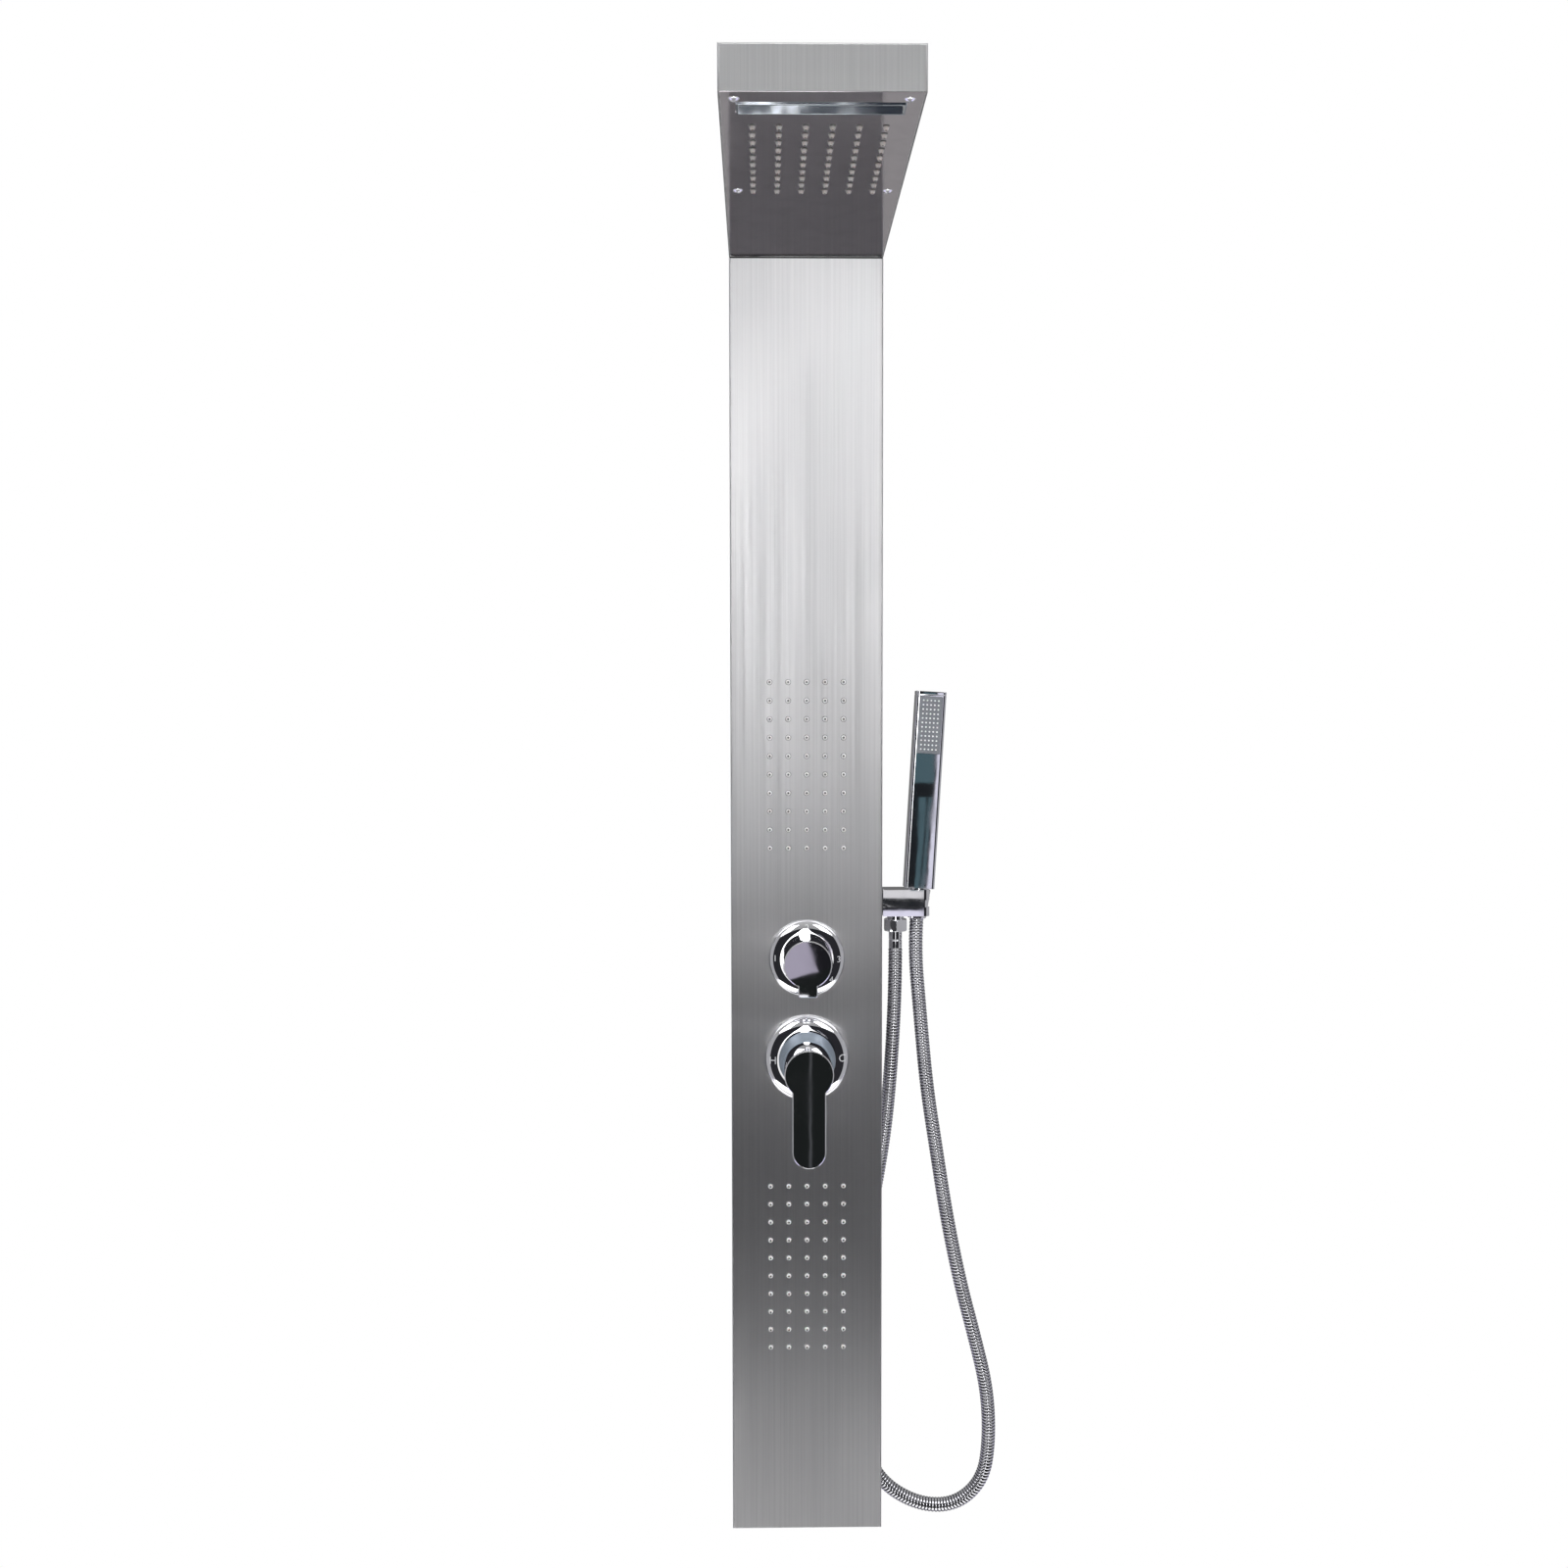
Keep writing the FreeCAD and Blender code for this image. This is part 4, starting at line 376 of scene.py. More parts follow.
@dataclass(frozen=True)
class Moulded(Finish):
    """A plastic or lacquered piece with a fine moulded skin."""

    skin: float = 900.0
    depth: float = 0.00003
    shade: float = 0.1
    metal: float = 0.0
    coat: float = 0.0

    def wire(self, wiring: Wiring) -> None:
        """Builds the nodes.

        Args:
            wiring: The shader's wiring.
        """
        pores = wiring.noise(self.skin, 3.0)
        blotches = wiring.ranged(wiring.noise(25.0), 0.35, 0.7)
        wiring.surface(
            Base_Color=self.tinted(wiring, blotches, self.shade),
            Metallic=self.metal,
            Roughness=wiring.ranged(pores, 0.3, 0.7, self.roughness - 0.06, self.roughness + 0.06),
            Coat_Weight=self.coat,
            Normal=wiring.bump(pores, self.depth),
        )


@dataclass(frozen=True)
class Silicone(Finish):
    """Soft silicone: slightly translucent, with a painted shade at each nozzle's root and inside its bore.

    The attribute rise is 0 at a nozzle's root and 1 at its tip.
    """

    # root: the share of the colour left at a nozzle's root and in its bore, a painted shade.
    root: float = 0.12

    def wire(self, wiring: Wiring) -> None:
        """Builds the nodes.

        Args:
            wiring: The shader's wiring.
        """
        skin = wiring.noise(1400.0)
        dust = wiring.ranged(wiring.noise(160.0, 3.0), 0.4, 0.7)
        # Painted shade: towards each nozzle's root and inside its bore the colour darkens to the root share.
        out = wiring.ranged(wiring.rise(), 0.1, 0.55)
        painted_root_shade = opaque(self.colour, self.root)
        wiring.surface(
            Base_Color=wiring.mixed(out, painted_root_shade, self.tinted(wiring, dust, 0.14)),
            Roughness=wiring.ranged(skin, 0.3, 0.7, self.roughness - 0.08, self.roughness + 0.08),
            Subsurface_Weight=0.15,
            Subsurface_Scale=0.002,
            Normal=wiring.bump(skin, 0.00002),
        )


COLUMN_STEEL = BrushedSteel("brushed_column_steel", (0.74, 0.735, 0.745), 0.36)
HEAD_STEEL = BrushedSteel("brushed_head_steel", (0.70, 0.70, 0.70), 0.38)
MIRROR_PLATE = Polished("polished_head_plate", (0.93, 0.87, 0.91), 0.07, 0.00001, 0.06)
CHROME = Polished("mirror_chrome", (0.86, 0.86, 0.88), 0.015, 0.000004, 0.02)
HAND_CHROME = Polished("hand_shower_chrome", (0.82, 0.83, 0.86), 0.015, 0.000006, 0.025)
HOSE_STEEL = WoundStrip("wound_hose_steel", (0.60, 0.60, 0.63), 0.09)
DARK_CHROME = Polished("waterfall_chrome", (0.74, 0.78, 0.84), 0.04, 0.00001)
SATIN = Moulded("satin_sleeve", (0.32, 0.38, 0.45), 0.42, 700.0, 0.00001, 0.08, 0.5)
NOZZLE_SILICONE = Silicone("nozzle_silicone", (0.50, 0.47, 0.45), 0.55)
JET_SILICONE = Silicone("jet_silicone", (0.78, 0.77, 0.77), 0.5)
PALE_SILICONE = Silicone("hand_nozzle_silicone", (0.97, 0.97, 0.97), 0.4, 1.0)
GREY_FACE = Moulded("grey_spray_face", (0.17, 0.18, 0.20), 0.3, 1200.0, 0.00001, 0.08, 0.0, 0.3)
INDEX_DARK = Moulded("index_dark", (0.03, 0.03, 0.035), 0.35, 900.0, 0.00001)
ETCHED = Moulded("etched_mark", (0.62, 0.62, 0.64), 0.55, 1500.0, 0.00001)
SEAL = Moulded("sealing_rubber", (0.02, 0.02, 0.02), 0.7, 600.0, 0.00004)
MILL_STEEL = Moulded("mill_steel", (0.42, 0.42, 0.43), 0.38, 240.0, 0.00004, 0.22, 1.0)
CAST_BRASS = Moulded("cast_brass", (0.62, 0.44, 0.20), 0.42, 420.0, 0.0001, 0.2, 1.0)
CHAMBER_PLASTIC = Moulded("chamber_plastic", (0.62, 0.62, 0.60), 0.45)
PIPE_PLASTIC = Moulded("water_pipe", (0.72, 0.72, 0.70), 0.36, 500.0, 0.00002)
CARTRIDGE_PLASTIC = Moulded("cartridge_plastic", (0.78, 0.78, 0.75), 0.4)

SLOT_FINISH: dict[Slot, Finish] = {
    Slot.SHEET: COLUMN_STEEL,
    Slot.PLATE: MIRROR_PLATE,
    Slot.INNER_STEEL: MILL_STEEL,
    Slot.CHROME: CHROME,
    Slot.HOSE_STEEL: HOSE_STEEL,
    Slot.SATIN: SATIN,
    Slot.SILICONE: NOZZLE_SILICONE,
    Slot.CHAMBER: CHAMBER_PLASTIC,
    Slot.BRASS: CAST_BRASS,
    Slot.CARTRIDGE: CARTRIDGE_PLASTIC,
    Slot.SEAL: SEAL,
    Slot.PIPE: PIPE_PLASTIC,
    Slot.GREY_FACE: GREY_FACE,
    Slot.INDEX: INDEX_DARK,
}
NODE_FINISH: dict[str, Finish] = {"handset_connector": CHROME}


# ---- shapes -----------------------------------------------------------------------------


def turned(blank: Blank, profile: Sequence[Pair], base: Vector, axis: Vector, steps: int = 64) -> None:
    """Adds a piece turned on a lathe.

    Args:
        blank: The mesh to add to.
        profile: (radius, along) pairs in millimetres, a closed outline.
        base: Where along is 0, in metres.
        axis: The direction of along.
        steps: Points round the axis.
    """
    axis = axis.normalized()
    side = axis.orthogonal().normalized()
    other = axis.cross(side)
    rings = []
    for radius, along in profile:
        middle = base + axis * along * MM
        if radius == 0.0:
            rings.append([blank.verts.new(middle)] * steps)
            continue
        ring = []
        for step in range(steps):
            turn = math.tau * step / steps
            spoke = side * math.cos(turn) + other * math.sin(turn)
            ring.append(blank.verts.new(middle + spoke * radius * MM))
        rings.append(ring)
    for near, far in zip(rings, rings[1:] + rings[:1]):
        stitched(blank, near, far)


def stitched(blank: Blank, near: Sequence[Corner], far: Sequence[Corner]) -> None:
    """Joins two rings of as many points by faces, triangles where a ring is one point.

    Args:
        blank: The mesh to add to.
        near: The first ring.
        far: The second ring.
    """
    for step in range(len(near)):
        after = (step + 1) % len(near)
        quad = list(dict.fromkeys((near[step], near[after], far[after], far[step])))
        if len(quad) > 2:
            blank.faces.new(quad)


def prism(
    blank: Blank, outline: Sequence[Pair], origin: Vector, across: Vector, upward: Vector, depth: float
) -> None:
    """Adds a straight bar.

    Args:
        blank: The mesh to add to.
        outline: (across, upward) pairs in millimetres.
        origin: Where both are 0, in metres.
        across: The first direction of the outline.
        upward: Its second direction.
        depth: The bar's length in millimetres, along across x upward.
    """
    reach = across.cross(upward).normalized() * depth * MM
    near = [blank.verts.new(origin + (across * u + upward * v) * MM) for u, v in outline]
    far = [blank.verts.new(vert.co + reach) for vert in near]
    blank.faces.new(near)
    blank.faces.new(far)
    stitched(blank, near, far)


def rounded_rectangle(width: float, height: float, corner: float, steps: int = 6) -> list[Pair]:
    """The outline of a rectangle with round corners, about its middle.

    Args:
        width: Its width in millimetres.
        height: Its height.
        corner: The radius of its corners.
        steps: Edges round a corner.

    Returns:
        Its points in millimetres.
    """
    outline = []
    for quarter, (side, rise) in enumerate(((1, 1), (-1, 1), (-1, -1), (1, -1))):
        for step in range(steps + 1):
            turn = math.radians(90.0 * quarter + 90.0 * step / steps)
            u = side * (width / 2 - corner) + corner * math.cos(turn)
            outline.append((u, rise * (height / 2 - corner) + corner * math.sin(turn)))
    return outline


def hexagon(across_flats: float) -> list[Pair]:
    """A hexagon's outline with a corner on its second axis.

    Args:
        across_flats: Its width between two flats in millimetres.

    Returns:
        Its points in millimetres.
    """
    corner = across_flats / math.sqrt(3.0)
    turns = [math.radians(60.0 * side) for side in range(6)]
    return [(corner * math.sin(turn), corner * math.cos(turn)) for turn in turns]


def settled(obj: Piece) -> Piece:
    """Turns an object with its modifiers into a plain mesh.

    Args:
        obj: The object.

    Returns:
        The object, without modifiers.
    """
    view = bpy.context.evaluated_depsgraph_get()
    seen = obj.evaluated_get(view)
    plain = bpy.data.meshes.new_from_object(seen, preserve_all_data_layers=True, depsgraph=view)
    obj.modifiers.clear()
    obj.data = plain
    return obj


def meshed(guide: Piece) -> bpy.types.Mesh:
    """The mesh of a curve or a text, which is used up.

    Args:
        guide: The curve or text.

    Returns:
        The mesh.
    """
    seen = guide.evaluated_get(bpy.context.evaluated_depsgraph_get())
    mesh = bpy.data.meshes.new_from_object(seen)
    bpy.data.objects.remove(guide)
    return mesh


def trimmed(obj: Piece, tool: Piece, way: Cut) -> Piece:
    """Cuts a piece with a tool, which is used up.

    Args:
        obj: The piece.
        tool: The tool.
        way: What the tool does.

    Returns:
        The piece.
    """
    cut = obj.modifiers.new("trimmed", "BOOLEAN")
    cut.operation = way.value
    cut.object = tool
    cut.solver = "EXACT"
    settled(obj)
    bpy.data.objects.remove(tool)
    return obj


def grain_map(mesh: bpy.types.Mesh, grain: Vector) -> None:
    """Gives a mesh the UV map Grain, whose first direction runs across the brushing.

    Args:
        mesh: The mesh.
        grain: The direction of the brushing.
    """
    layer = mesh.uv_layers.new(name="Grain")
    for face in mesh.polygons:
        across = grain.cross(face.normal)
        if across.length < 0.1:
            across = RIGHT.copy()
        across.normalize()
        down = face.normal.cross(across)
        for loop in face.loop_indices:
            place = mesh.vertices[mesh.loops[loop].vertex_index].co
            layer.data[loop].uv = (place.dot(across), place.dot(down))


def softened(obj: Piece, edge: float = 0.0, grain: Vector | None = None, segments: int = 3) -> Piece:
    """Eases a piece's edges and settles its normals.

    Args:
        obj: The piece.
        edge: The width of the eased edge in millimetres, or 0.
        grain: The direction of its brushing, if it has one.
        segments: Faces across an eased edge.

    Returns:
        The piece, as a plain mesh.
    """
    if edge > 0:
        bevel = obj.modifiers.new("eased_edges", "BEVEL")
        bevel.width = edge * MM
        bevel.segments = segments
        bevel.limit_method = "ANGLE"
        bevel.angle_limit = BEVEL_ANGLE
        settled(obj)
    obj.data.shade_smooth()
    obj.data.set_sharp_from_angle(angle=SHARP_ANGLE)
    if grain is not None:
        grain_map(obj.data, grain)
    weighted = obj.modifiers.new("weighted_normals", "WEIGHTED_NORMAL")
    weighted.keep_sharp = True
    return settled(obj)


def linked(name: str, data: bpy.types.ID) -> Piece:
    """A new object in the scene.

    Args:
        name: Its name.
        data: Its mesh, curve, text, lamp or camera.

    Returns:
        The object.
    """
    obj = bpy.data.objects.new(name, data)
    bpy.context.scene.collection.objects.link(obj)
    return obj


def emptied(name: str, blank: Blank) -> Piece:
    """An object out of a mesh in the making, which is used up.

    Args:
        name: The object's name.
        blank: The mesh in the making.

    Returns:
        The object.
    """
    mesh = bpy.data.meshes.new(name)
    blank.to_mesh(mesh)
    blank.free()
    return linked(name, mesh)


def cast(name: str, blank: Blank) -> Piece:
    """An object out of a mesh in the making, closed and facing outward.

    Args:
        name: The object's name.
        blank: The mesh in the making.

    Returns:
        The object.
    """
    bmesh.ops.remove_doubles(blank, verts=blank.verts, dist=CAST_MERGE)
    bmesh.ops.recalc_face_normals(blank, faces=blank.faces)
    return emptied(name, blank)


def recast(name: str, node: str) -> Piece:
    """An object with a CAD node's shape, its loose triangles merged into whole faces.

    Args:
        name: The object's name.
        node: The CAD node.

    Returns:
        The object.
    """
    blank = bmesh.new()
    blank.from_mesh(frame["nodes"][node].data)
    bmesh.ops.remove_doubles(blank, verts=blank.verts, dist=CAD_MERGE)
    bmesh.ops.dissolve_limit(blank, angle_limit=FLAT_ANGLE, verts=blank.verts, edges=blank.edges)
    made = emptied(name, blank)
    layers = made.data.attributes
    for layer in ("custom_normal", "sharp_edge", "sharp_face"):
        if layer in layers:
            layers.remove(layers[layer])
    return made


def dressed(obj: Piece, finish: Finish, body: Body, slot: Slot, *nodes: str) -> Piece:
    """Gives a piece its finish and its body, and reports it.

    Args:
        obj: The piece.
        finish: Its finish.
        body: What it moves with.
        slot: The record's slot; not used.
        *nodes: The CAD nodes that it stands for.

    Returns:
        The piece.
    """
    obj.data.materials.clear()
    obj.data.materials.append(finish.material())
    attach(obj, body.value)
    if nodes:
        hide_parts(*nodes)
    LOG.info("%s: %d faces, on %s", obj.name, len(obj.data.polygons), body.value)
    return obj


def redone(
    name: str,
    node: str,
    finish: Finish,
    edge: float = 0.0,
    body: Body = Body.COLUMN,
    slot: Slot = Slot.CHROME,
    grain: Vector | None = None,
) -> Piece:
    """A CAD node's shape as a visible piece.

    Args:
        name: The piece's name.
        node: The CAD node that it stands for.
        finish: Its finish.
        edge: The width of its eased edges in millimetres.
        body: What it moves with.
        slot: The record's slot.
        grain: The direction of its brushing, if it has one.

    Returns:
        The piece.
    """
    return dressed(softened(recast(name, node), edge, grain), finish, body, slot, node)


def unmirrored(obj: Piece) -> None:
    """Keeps a piece of the head from being mirrored in the column and the controls."""
    obj.visible_glossy = False


# ---- node trees for what repeats ----------------------------------------------------------


class Socket(Enum):
    """Socket types of a geometry tree's inputs."""

    GEOMETRY = "NodeSocketGeometry"
    OBJECT = "NodeSocketObject"
    MATERIAL = "NodeSocketMaterial"
    WHOLE = "NodeSocketInt"
    SIZE = "NodeSocketFloat"


class GeometryTree(Wiring):
    """A geometry node tree with named inputs."""

    def __init__(self, name: str, inputs: dict[str, Socket]) -> None:
        """Makes the tree with its inputs, the geometry first and the finish last.

        Args:
            name: The tree's name.
            inputs: The other inputs by name.
        """
        super().__init__(bpy.data.node_groups.new(name, "GeometryNodeTree"))
        self.keys: dict[str, str] = {}
        for label, kind in {"Geometry": Socket.GEOMETRY, **inputs, "Finish": Socket.MATERIAL}.items():
            made = self.tree.interface.new_socket(label, in_out="INPUT", socket_type=kind.value)
            self.keys[label] = made.identifier
        self.tree.interface.new_socket("Geometry", in_out="OUTPUT", socket_type=Socket.GEOMETRY.value)
        self.start = self.tree.nodes.new("NodeGroupInput")

    def given(self, label: str) -> Link:
        """One of the tree's inputs."""
        return self.start.outputs[label]

    def join(self, *parts: Link) -> Link:
        """Joins several geometries.

        Args:
            *parts: The geometries.

        Returns:
            The joined geometry.
        """
        joined = self.node("GeometryNodeJoinGeometry")
        for part in parts:
            self.tree.links.new(part, joined.inputs[0])
        return joined.outputs[0]

    def seed_piece(self, label: str) -> Link:
        """The geometry of an object that the tree is given."""
        return self.node("GeometryNodeObjectInfo", Object=self.given(label)).outputs["Geometry"]

    def end(self, geometry: Link) -> None:
        """Realises the instances, gives them their material and closes the tree.

        Args:
            geometry: What the tree has made.
        """
        real = self.node("GeometryNodeRealizeInstances", Geometry=geometry).outputs[0]
        finish = self.given("Finish")
        painted = self.node("GeometryNodeSetMaterial", Geometry=real, Material=finish).outputs[0]
        self.node("NodeGroupOutput", Geometry=painted)

    def applied(self, obj: Piece, **values: Any) -> Piece:
        """Runs the tree on an object.

        Args:
            obj: The object.
            **values: The inputs by name, with _ for a space.

        Returns:
            The object as a plain mesh.
        """
        modifier = obj.modifiers.new(self.tree.name, "NODES")
        modifier.node_group = self.tree
        for label, value in values.items():
            modifier[self.keys[label.replace("_", " ")]] = value
        return settled(obj)


def nozzle_grid() -> GeometryTree:
    """A tree that sets nozzles in rows on the mat that it is given.

    Returns:
        The tree.
    """
    tree = GeometryTree(
        "nozzle_grid",
        {
            "Nozzle": Socket.OBJECT,
            "Columns": Socket.WHOLE,
            "Rows": Socket.WHOLE,
            "Pitch Across": Socket.SIZE,
            "Pitch Along": Socket.SIZE,
        },
    )
    spans = []
    for count, pitch in (("Columns", "Pitch Across"), ("Rows", "Pitch Along")):
        gaps = tree.maths("SUBTRACT", tree.given(count), 1.0)
        spans.append(tree.product(gaps, tree.given(pitch)))
    grid = tree.node(
        "GeometryNodeMeshGrid",
        Size_X=spans[0],
        Size_Y=spans[1],
        Vertices_X=tree.given("Columns"),
        Vertices_Y=tree.given("Rows"),
    ).outputs["Mesh"]
    nozzle = tree.seed_piece("Nozzle")
    set_out = tree.node("GeometryNodeInstanceOnPoints", Points=grid, Instance=nozzle).outputs[0]
    tree.end(tree.join(tree.given("Geometry"), set_out))
    return tree


def screw_set() -> GeometryTree:
    """A tree that puts a screw on each point it is given, each driven home to its own angle.

    Returns:
        The tree.
    """
    tree = GeometryTree("screw_set", {"Screw": Socket.OBJECT, "Seed": Socket.WHOLE})
    turn = tree.node(
        "FunctionNodeRandomValue",
        {"data_type": "FLOAT_VECTOR"},
        Min=(0.0, 0.0, 0.0),
        Max=(0.0, 0.0, math.tau),
        Seed=tree.given("Seed"),
    ).outputs[0]
    angle = tree.node("FunctionNodeEulerToRotation", Euler=turn).outputs[0]
    placed = tree.node(
        "GeometryNodeInstanceOnPoints",
        Points=tree.given("Geometry"),
        Instance=tree.seed_piece("Screw"),
        Rotation=angle,
    ).outputs[0]
    tree.end(placed)
    return tree


def ribbed_tube() -> GeometryTree:
    """A tree that winds a ribbed tube round the line that it is given.

    Returns:
        The tree.
    """
    tree = GeometryTree(
        "ribbed_tube",
        {
            "Ribs": Socket.WHOLE,
            "Rings per Rib": Socket.WHOLE,
            "Sides": Socket.WHOLE,
            "Crest": Socket.SIZE,
            "Valley": Socket.SIZE,
        },
    )
    line = tree.node("GeometryNodeMeshToCurve", Mesh=tree.given("Geometry")).outputs[0]
    rings = tree.product(tree.given("Ribs"), tree.given("Rings per Rib"))
    count = tree.total(rings, 1.0)
    even = tree.node("GeometryNodeResampleCurve", Curve=line, Count=count).outputs[0]
    factor = tree.node("GeometryNodeSplineParameter").outputs["Factor"]
    phase = tree.product(factor, tree.given("Ribs"))
    wave = tree.product(tree.maths("PINGPONG", phase, 0.5), 2.0)
    crest = tree.ranged(wave, 0.1, 0.45)
    height = tree.maths("SUBTRACT", tree.given("Crest"), tree.given("Valley"))
    radius = tree.total(tree.product(crest, height), tree.given("Valley"))
    per_point = {"data_type": "FLOAT", "domain": "POINT"}
    marked = tree.node(
        "GeometryNodeStoreNamedAttribute", per_point, Geometry=even, Name="rise", Value=crest
    ).outputs[0]
    sides = tree.given("Sides")
    ring = tree.node("GeometryNodeCurvePrimitiveCircle", Resolution=sides, Radius=1.0).outputs[0]
    skin = tree.node(
        "GeometryNodeCurveToMesh", Curve=marked, Profile_Curve=ring, Scale=radius, Fill_Caps=True
    ).outputs[0]
    tree.end(tree.node("GeometryNodeSetShadeSmooth", Geometry=skin).outputs[0])
    return tree


@dataclass(frozen=True)
class Trees:
    """The geometry trees that the sub-assemblies share."""

    grid: GeometryTree = field(default_factory=nozzle_grid)
    screws: GeometryTree = field(default_factory=screw_set)
    ribs: GeometryTree = field(default_factory=ribbed_tube)


# ---- studio -----------------------------------------------------------------------------


@dataclass(frozen=True)
class Patch:
    """A lit or dark patch of the studio's tent, seen from the panel.

    Azimuth is 0 straight in front and grows to the right; both angles are in degrees, and
    soft is the width of the patch's faded edge. slant raises the patch by so many degrees
    for each degree of azimuth, lean moves it right for each one of elevation. A mirrored
    patch hangs on both sides.
    """

    azimuth: Pair
    elevation: Pair
    colour: Colour
    soft: float = 3.0
    slant: float = 0.0
    lean: float = 0.0
    mirrored: bool = False


@dataclass
class Studio:
    """Camera, lamps, floor and the tent that the polished metal mirrors.

    The ramps give the tent's brightness by elevation, in front and behind, and the
    patches lie over them in their order. Places and the tent's radius are in metres, the
    floor's height in millimetres above the column's lower end.
    """

    camera_place: Vector = field(default_factory=lambda: spot(-44.79, 826.88, 1516.18))
    camera_pitch: float = -2.785
    camera_yaw: float = -0.848
    camera_roll: float = 0.086
    lens: float = 35.32
    sensor: float = 36.0
    floor_height: float = -300.0
    floor_half: float = 2.2
    floor_front: float = -3.2
    floor_rear: float = 0.3
    room_light: float = 0.55
    lamp_target: Vector = field(default_factory=lambda: Vector((0.0, -0.1, -0.5)))
    lamps: Sequence[tuple[str, Triple, float, float]] = (
        ("left_softbox", (-1.5, -1.9, 1.3), 1.4, 26.0),
        ("right_softbox", (1.6, -1.7, 1.2), 1.2, 20.0),
        ("low_fill", (0.9, -1.6, -1.2), 0.9, 6.0),
    )
    tent_radius: float = 60.0
    peak: float = 20.0
    front_ramp: Sequence[Pair] = (
        (-90, 0.25), (-34, 3.2), (-27.5, 5.6), (-25.2, 2.9), (-22.8, 0.1), (-19, 0.1), (-17.4, 0.4),
        (-15, 1.1), (-13, 0.8), (-11.5, 1.4), (-9.5, 3.4), (-7, 3.8), (-5.4, 4.0), (-3.9, 5.6),
        (-0.5, 8.6), (2.5, 9.2), (6, 11.8), (13, 12.2), (17, 10.6), (21.5, 3.6), (24.4, 2.2),
        (28, 0.35), (75, 0.5), (90, 0.6),
    )
    rear_ramp: Sequence[Pair] = (
        (-90, 0.3), (-38, 0.3), (-24, 0.27), (-14, 0.24), (-4, 0.16), (12, 0.16), (30, 0.4),
        (60, 0.6), (90, 0.7),
    )
    patches: Sequence[Patch] = (
        Patch((4.2, 60), (-40, 26), (0.024, 0.024, 0.028), 1.6, mirrored=True),
        Patch((60, 150), (-40, 26), (0.42, 0.42, 0.44), 6.0, mirrored=True),
        Patch((26, 60), (31, 62), (4.4, 4.4, 4.5), 1.2, mirrored=True),
        Patch((100, 150), (-60, -34), (0.8, 0.76, 1.02), 4.0, mirrored=True),
        Patch((0.2, 3.2), (-10.6, -8.6), (0.40, 0.37, 0.46), 0.3),
        Patch((-1.45, -0.1), (-13, -8.6), (0.012, 0.012, 0.015), 0.04, lean=-0.35),
        Patch((0.2, 3.2), (-21, -10.92), (0.012, 0.014, 0.014), 0.06, slant=0.28),
        Patch((1.80, 1.86), (-19, -12), (0.07, 0.073, 0.078), 0.04),
        Patch((1.1, 1.72), (-11.9, -11.2), (1.2, 1.2, 1.25), 0.05),
        Patch((4.3, 7.4), (-12, 2.5), (0.015, 0.017, 0.02), 0.1),
        Patch((4.35, 6.3), (-7.52, -7.17), (0.75, 0.74, 0.76), 0.05),
        Patch((4.35, 6.6), (-8.5, -8.0), (0.80, 0.78, 0.93), 0.05),
        Patch((5.98, 6.66), (-3.1, 1.5), (0.075, 0.125, 0.145), 0.05, lean=0.057),
        Patch((6.14, 6.38), (-7.2, -3.7), (0.075, 0.125, 0.145), 0.03, lean=0.057),
        Patch((6.49, 6.64), (-7.2, -3.7), (0.075, 0.125, 0.145), 0.03, lean=0.057),
        Patch((6.80, 7.2), (-7.2, 2.0), (0.8, 0.78, 0.90), 0.02, lean=0.057),
        Patch((-1.6, 6.2), (19.6, 21.15), (0.03, 0.035, 0.045), 0.12),
    )

    def build(self) -> None:
        """Sets up the whole studio."""
        self.set_camera()
        self.set_world()
        self.set_lamps()
        self.lay_floor()
        self.hang_tent()

    def set_camera(self) -> None:
        """The camera, a little above and left of the column's middle, looking slightly down."""
        data = bpy.data.cameras.new("camera")
        data.lens = self.lens
        data.sensor_width = self.sensor
        data.clip_start = 0.01
        camera = linked("camera", data)
        place = Matrix.Translation(self.camera_place)
        turns = ((self.camera_yaw, "Z"), (self.camera_pitch, "X"), (self.camera_roll, "Y"), (90.0, "X"))
        for degrees, about in turns:
            place = place @ Matrix.Rotation(math.radians(degrees), 4, about)
        camera.matrix_world = place
        bpy.context.scene.camera = camera
        bpy.context.scene.view_settings.view_transform = "Standard"

    def set_world(self) -> None:
        """A white surrounding for the camera, glass and metal, and a softer one for the rest."""
        world = bpy.data.worlds.new("studio")
        world.use_nodes = True
        bpy.context.scene.world = world
        wiring = Wiring(world.node_tree)
        path = wiring.node("ShaderNodeLightPath")
        seen = wiring.maths("MAXIMUM", path.outputs["Is Camera Ray"], path.outputs["Is Glossy Ray"])
        seen = wiring.maths("MAXIMUM", seen, path.outputs["Is Transmission Ray"])
        shown = wiring.node("ShaderNodeBackground", Color=(1, 1, 1, 1), Strength=1.0).outputs[0]
        room = {"Color": (0.97, 0.98, 1, 1), "Strength": self.room_light}
        light = wiring.node("ShaderNodeBackground", **room).outputs[0]
        mixed = wiring.node("ShaderNodeMixShader", _0=seen, _1=light, _2=shown).outputs[0]
        wiring.node("ShaderNodeOutputWorld", Surface=mixed)

    def set_lamps(self) -> None:
        """Two large softboxes above the camera and a smaller one low on the right."""
        for name, place, size, power in self.lamps:
            data = bpy.data.lights.new(name, "AREA")
            data.size = size
            data.energy = power
            lamp = linked(name, data)
            aim = (Vector(place) - self.lamp_target).to_track_quat("Z", "Y")
            lamp.matrix_world = Matrix.Translation(place) @ aim.to_matrix().to_4x4()
            lamp.visible_glossy = False

